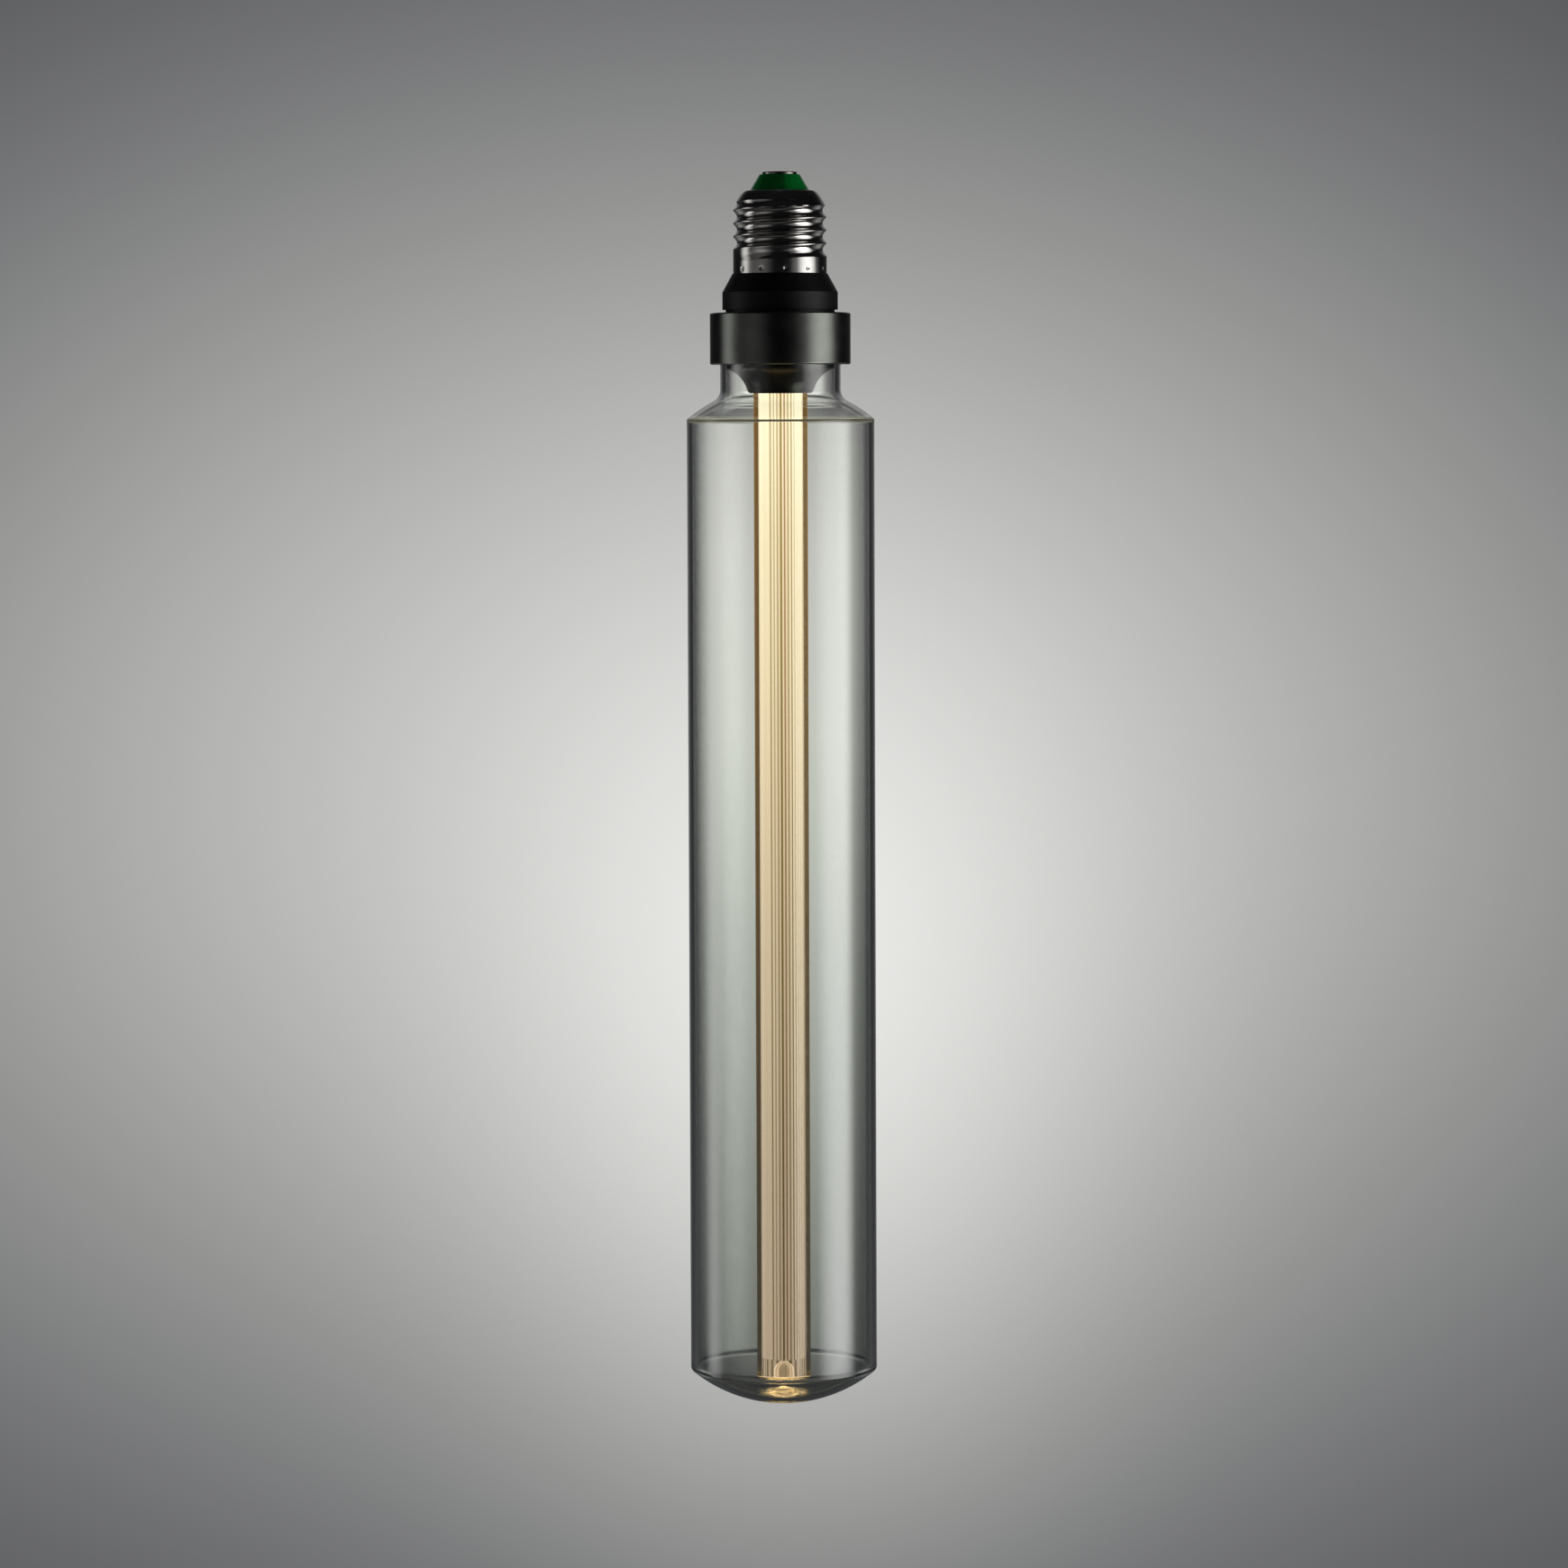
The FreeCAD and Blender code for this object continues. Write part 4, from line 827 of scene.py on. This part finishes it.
shell = turn("rolled_shell", shell_r * MM, shell_h * MM, sides=360, swell=rolled)
print("turns of thread:", round((DOME_FOOT - THREAD_END) / PITCH, 1))

# %% [markdown]
# The steel is plated with black nickel: a dark mirror that shows the lamps as long bright lines. It is a
# metal, so its base colour is its mirror's colour. Rolling leaves faint lines round it, drawn 0.25 mm
# apart, which is coarser than the real ones, so that they show. Handling leaves slightly dull patches,
# about 4 mm across.

# %% Black nickel
nickel, tree, shader, place = start_material("black nickel, plated on rolled steel")
lines = stretched_noise(tree, place, (60.0, 60.0, 4000.0), detail=3.0)
patches = add_node(tree, "TexNoise", {"Vector": place, "Scale": 260.0, "Detail": 5.0})
mirror = add_node(tree, "ValToRGB", {0: patches}, stops=[(0.3, "#a2a09d"), (0.7, "#afada9")])
rough = add_node(tree, "MapRange", {"Value": patches, "From Min": 0.35, "From Max": 0.7,
                                    "To Min": 0.06, "To Max": 0.13})
bump = add_node(tree, "Bump", {"Height": lines, "Strength": 0.12, "Distance": 0.02 * MM})
plug(shader, {"Base Color": mirror, "Roughness": rough, "Metallic": 1.0, "Normal": bump})
shell.data.materials.append(nickel)
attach(shell, "root")
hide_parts("screw_shell")
print("nickel finish nodes:", len(tree.nodes))

# %% [markdown]
# The contact
#
# It is a disc of brass, turned on a lathe and plated with nickel. The lathe's fine lines are rings round
# the axis, and use has stained the plating unevenly, which dulls its mirror. The CAD's shape is right, so
# the node keeps its mesh and only gets a finish.

# %% Contact
def dress(node_name, material):
    """Gives one CAD node its finish. The node's mesh stays as it is."""
    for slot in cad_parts[node_name].material_slots:
        slot.material = material
    print(node_name, "is", material.name)


plated, tree, shader, place = start_material("nickel, plated on turned brass")
rings = add_node(tree, "TexWave", {"Vector": place, "Scale": 700.0, "Distortion": 0.6, "Detail": 2.0},
                 wave_type="RINGS", rings_direction="Z").outputs["Fac"]
stain = add_node(tree, "TexNoise", {"Vector": place, "Scale": 420.0, "Detail": 4.0})
mirror = add_node(tree, "ValToRGB", {0: stain}, stops=[(0.3, "#6a6864"), (0.7, "#7d7b76")])
rough = add_node(tree, "MapRange", {"Value": stain, "From Min": 0.3, "From Max": 0.7,
                                    "To Min": 0.14, "To Max": 0.24})
bump = add_node(tree, "Bump", {"Height": rings, "Strength": 0.25, "Distance": 0.02 * MM})
plug(shader, {"Base Color": mirror, "Roughness": rough, "Metallic": 1.0, "Normal": bump})
dress("centre_contact", plated)

# %% [markdown]
# The insulator
#
# It is moulded green melamine with a gloss. Moulded gloss is never quite flat: the slow waves of the mould, 3
# mm long, show as soft swells in its highlight. Painted light and shade is laid on the green: it is lightest
# at the left, deepest in front and between the two elsewhere. side tells the place round the axis: 0 at -X
# and 0.25 in front.

# %% Insulator
PAINTED_LIGHT_GAIN = 1.75
moulded, tree, shader, place = start_material("melamine, moulded and glossy")
flow = add_node(tree, "TexNoise", {"Vector": place, "Scale": 330.0, "Detail": 0.0})
green = add_node(tree, "ValToRGB", {0: flow}, stops=[(0.3, "#00561c"), (0.7, "#006022")])
side = add_node(tree, "Math", {0: around_and_along(tree, place)[0], 1: 0.5}, operation="ADD")
# Painted light and shade: the green is made lighter at the left and darker in front, and the gain brightens
# all of it.
depth = add_node(tree, "ValToRGB", {0: side}, stops=[
    (0.0, 0.6), (0.04, 1.0), (0.10, 1.0), (0.135, 0.55), (0.22, 0.38), (0.27, 0.3), (0.30, 0.6), (0.34, 0.6)])
depth = add_node(tree, "Math", {0: depth, 1: PAINTED_LIGHT_GAIN}, operation="MULTIPLY")
green = add_node(tree, "VectorMath", {0: green, "Scale": depth}, operation="SCALE")
bump = add_node(tree, "Bump", {"Height": flow, "Strength": 0.1, "Distance": 0.04 * MM})
plug(shader, {"Base Color": green, "Roughness": 0.14, "IOR": 1.6, "Normal": bump})
dress("insulator", moulded)

# %% [markdown]
# The housing
#
# It is black moulded polycarbonate with a fine spark-eroded grain, 0.15 mm from grain to grain, which
# spreads any highlight until it is nearly gone.

# %% Moulded black
grained, tree, shader, place = start_material("polycarbonate, moulded with a fine grain")
grain = add_node(tree, "TexNoise", {"Vector": place, "Scale": 6500.0, "Detail": 2.0})
cloudy = add_node(tree, "TexNoise", {"Vector": place, "Scale": 120.0, "Detail": 3.0})
black = add_node(tree, "ValToRGB", {0: cloudy}, stops=[(0.3, "#020202"), (0.7, "#050505")])
bump = add_node(tree, "Bump", {"Height": grain, "Strength": 0.5, "Distance": 0.04 * MM})
plug(shader, {"Base Color": black, "Roughness": 0.45, "Specular IOR Level": 0.16, "Normal": bump})
dress("neck_housing", grained)

# %% [markdown]
# The collar
#
# It is turned aluminium with a black anodised skin, which is a thin glassy layer over the metal: fine lathe
# lines round it, 0.2 mm apart, and a broad soft highlight. Worn places, 5 mm across, are a little paler and
# duller.

# %% Anodised aluminium
anodised, tree, shader, place = start_material("aluminium, turned and black anodised")
lathe = stretched_noise(tree, place, (30.0, 30.0, 5200.0), detail=2.0)
wear = add_node(tree, "TexNoise", {"Vector": place, "Scale": 190.0, "Detail": 5.0})
skin = add_node(tree, "ValToRGB", {0: wear}, stops=[(0.3, "#5a5c58"), (0.7, "#636560")])
rough = add_node(tree, "MapRange", {"Value": wear, "From Min": 0.3, "From Max": 0.7,
                                    "To Min": 0.18, "To Max": 0.24})
bump = add_node(tree, "Bump", {"Height": lathe, "Strength": 0.2, "Distance": 0.03 * MM})
plug(shader, {"Base Color": skin, "Roughness": rough, "Metallic": 1.0, "Normal": bump})
dress("collar", anodised)

# %% [markdown]
# The holder of the rod is turned aluminium too. Its hard anodised skin is thicker, so it is darker and
# duller, and its lathe lines change its shade a little.

# %% Hard anodised aluminium
holder_skin, tree, shader, place = start_material("aluminium, turned and hard anodised")
lathe = stretched_noise(tree, place, (30.0, 30.0, 4200.0), detail=2.0)
skin = add_node(tree, "ValToRGB", {0: lathe}, stops=[(0.3, "#2a2b28"), (0.7, "#31322e")])
bump = add_node(tree, "Bump", {"Height": lathe, "Strength": 0.2, "Distance": 0.03 * MM})
plug(shader, {"Base Color": skin, "Roughness": 0.26, "Metallic": 1.0, "Normal": bump})
dress("guide_holder", holder_skin)

# %% [markdown]
# Inside the collar and the housing
#
# Nothing here shows until the bulb is taken apart, but each part still has its own finish. They share one
# recipe: two close shades that drift into each other, a roughness and a bump, all from one noise at the
# part's own scale.

# %% The recipe for inner finishes
BUMP_SHARE = 0.1


def inner_finish(name, dark, pale, grain_mm, roughness, metallic, strength):
    """Two shades mixed by noise with a grain of grain_mm. Its bump is BUMP_SHARE of the grain high."""
    material, tree, shader, place = start_material(name)
    noise = add_node(tree, "TexNoise", {"Vector": place, "Scale": 1 / (grain_mm * MM), "Detail": 3.0})
    shades = add_node(tree, "ValToRGB", {0: noise}, stops=[(0.35, dark), (0.65, pale)])
    bump = add_node(tree, "Bump", {"Height": noise, "Strength": strength,
                                   "Distance": grain_mm * MM * BUMP_SHARE})
    plug(shader, {"Base Color": shades, "Roughness": roughness, "Metallic": metallic, "Normal": bump})
    return material


print("a grain of 2 mm gives a bump of", 2 * BUMP_SHARE, "mm")

# %% [markdown]
# Each row gives a finish its dark and pale shade, grain in mm, roughness, metallic, bump strength and
# nodes.

# %% Inner finishes
INNER = {
    "silicone, cured adhesive": ("#101010", "#1c1c1c", 2.0, 0.6, 0.0, 0.4, ["neck_cement"]),
    "aluminium board, white solder mask": ("#dedcd4", "#ecebe6", 1.2, 0.4, 0.0, 0.1, ["led_board"]),
    "silicone and yellow phosphor": ("#e8c23a", "#f4d65c", 0.6, 0.35, 0.0, 0.2, ["led_chips"]),
    "steel, zinc plated": ("#a9aab0", "#c4c5c8", 0.8, 0.32, 1.0, 0.2, ["holder_screws"]),
    "epoxy board, green solder mask": ("#14532b", "#1d6a39", 1.5, 0.42, 0.0, 0.2, ["driver_board"]),
    "aluminium can in a shrink sleeve": ("#15161c", "#22242c", 2.4, 0.34, 0.0, 0.1, ["capacitor"]),
    "epoxy, dipped": ("#5a1d10", "#742a19", 1.8, 0.28, 0.0, 0.3, ["film_capacitor"]),
    "ferrite, sintered": ("#26272a", "#35363a", 0.4, 0.6, 0.0, 0.4, ["transformer_core"]),
    "polyester tape over copper": ("#c99a1c", "#dcb138", 1.5, 0.3, 0.0, 0.2, ["transformer_winding"]),
    "epoxy, moulded": ("#161616", "#222222", 0.3, 0.5, 0.0, 0.3, ["driver_chip", "bridge_rectifier"]),
    "ceramic, lacquered": ("#2f5e4c", "#3c7560", 0.9, 0.35, 0.0, 0.2, ["fuse_resistor"]),
    "silicone rubber, red": ("#8c1510", "#a31f18", 0.7, 0.5, 0.0, 0.2,
                             ["contact_wire", "shell_wire", "led_wire_left", "led_wire_right"]),
}
for name, (*recipe, nodes) in INNER.items():
    finish = inner_finish(name, *recipe)
    for node in nodes:
        dress(node, finish)
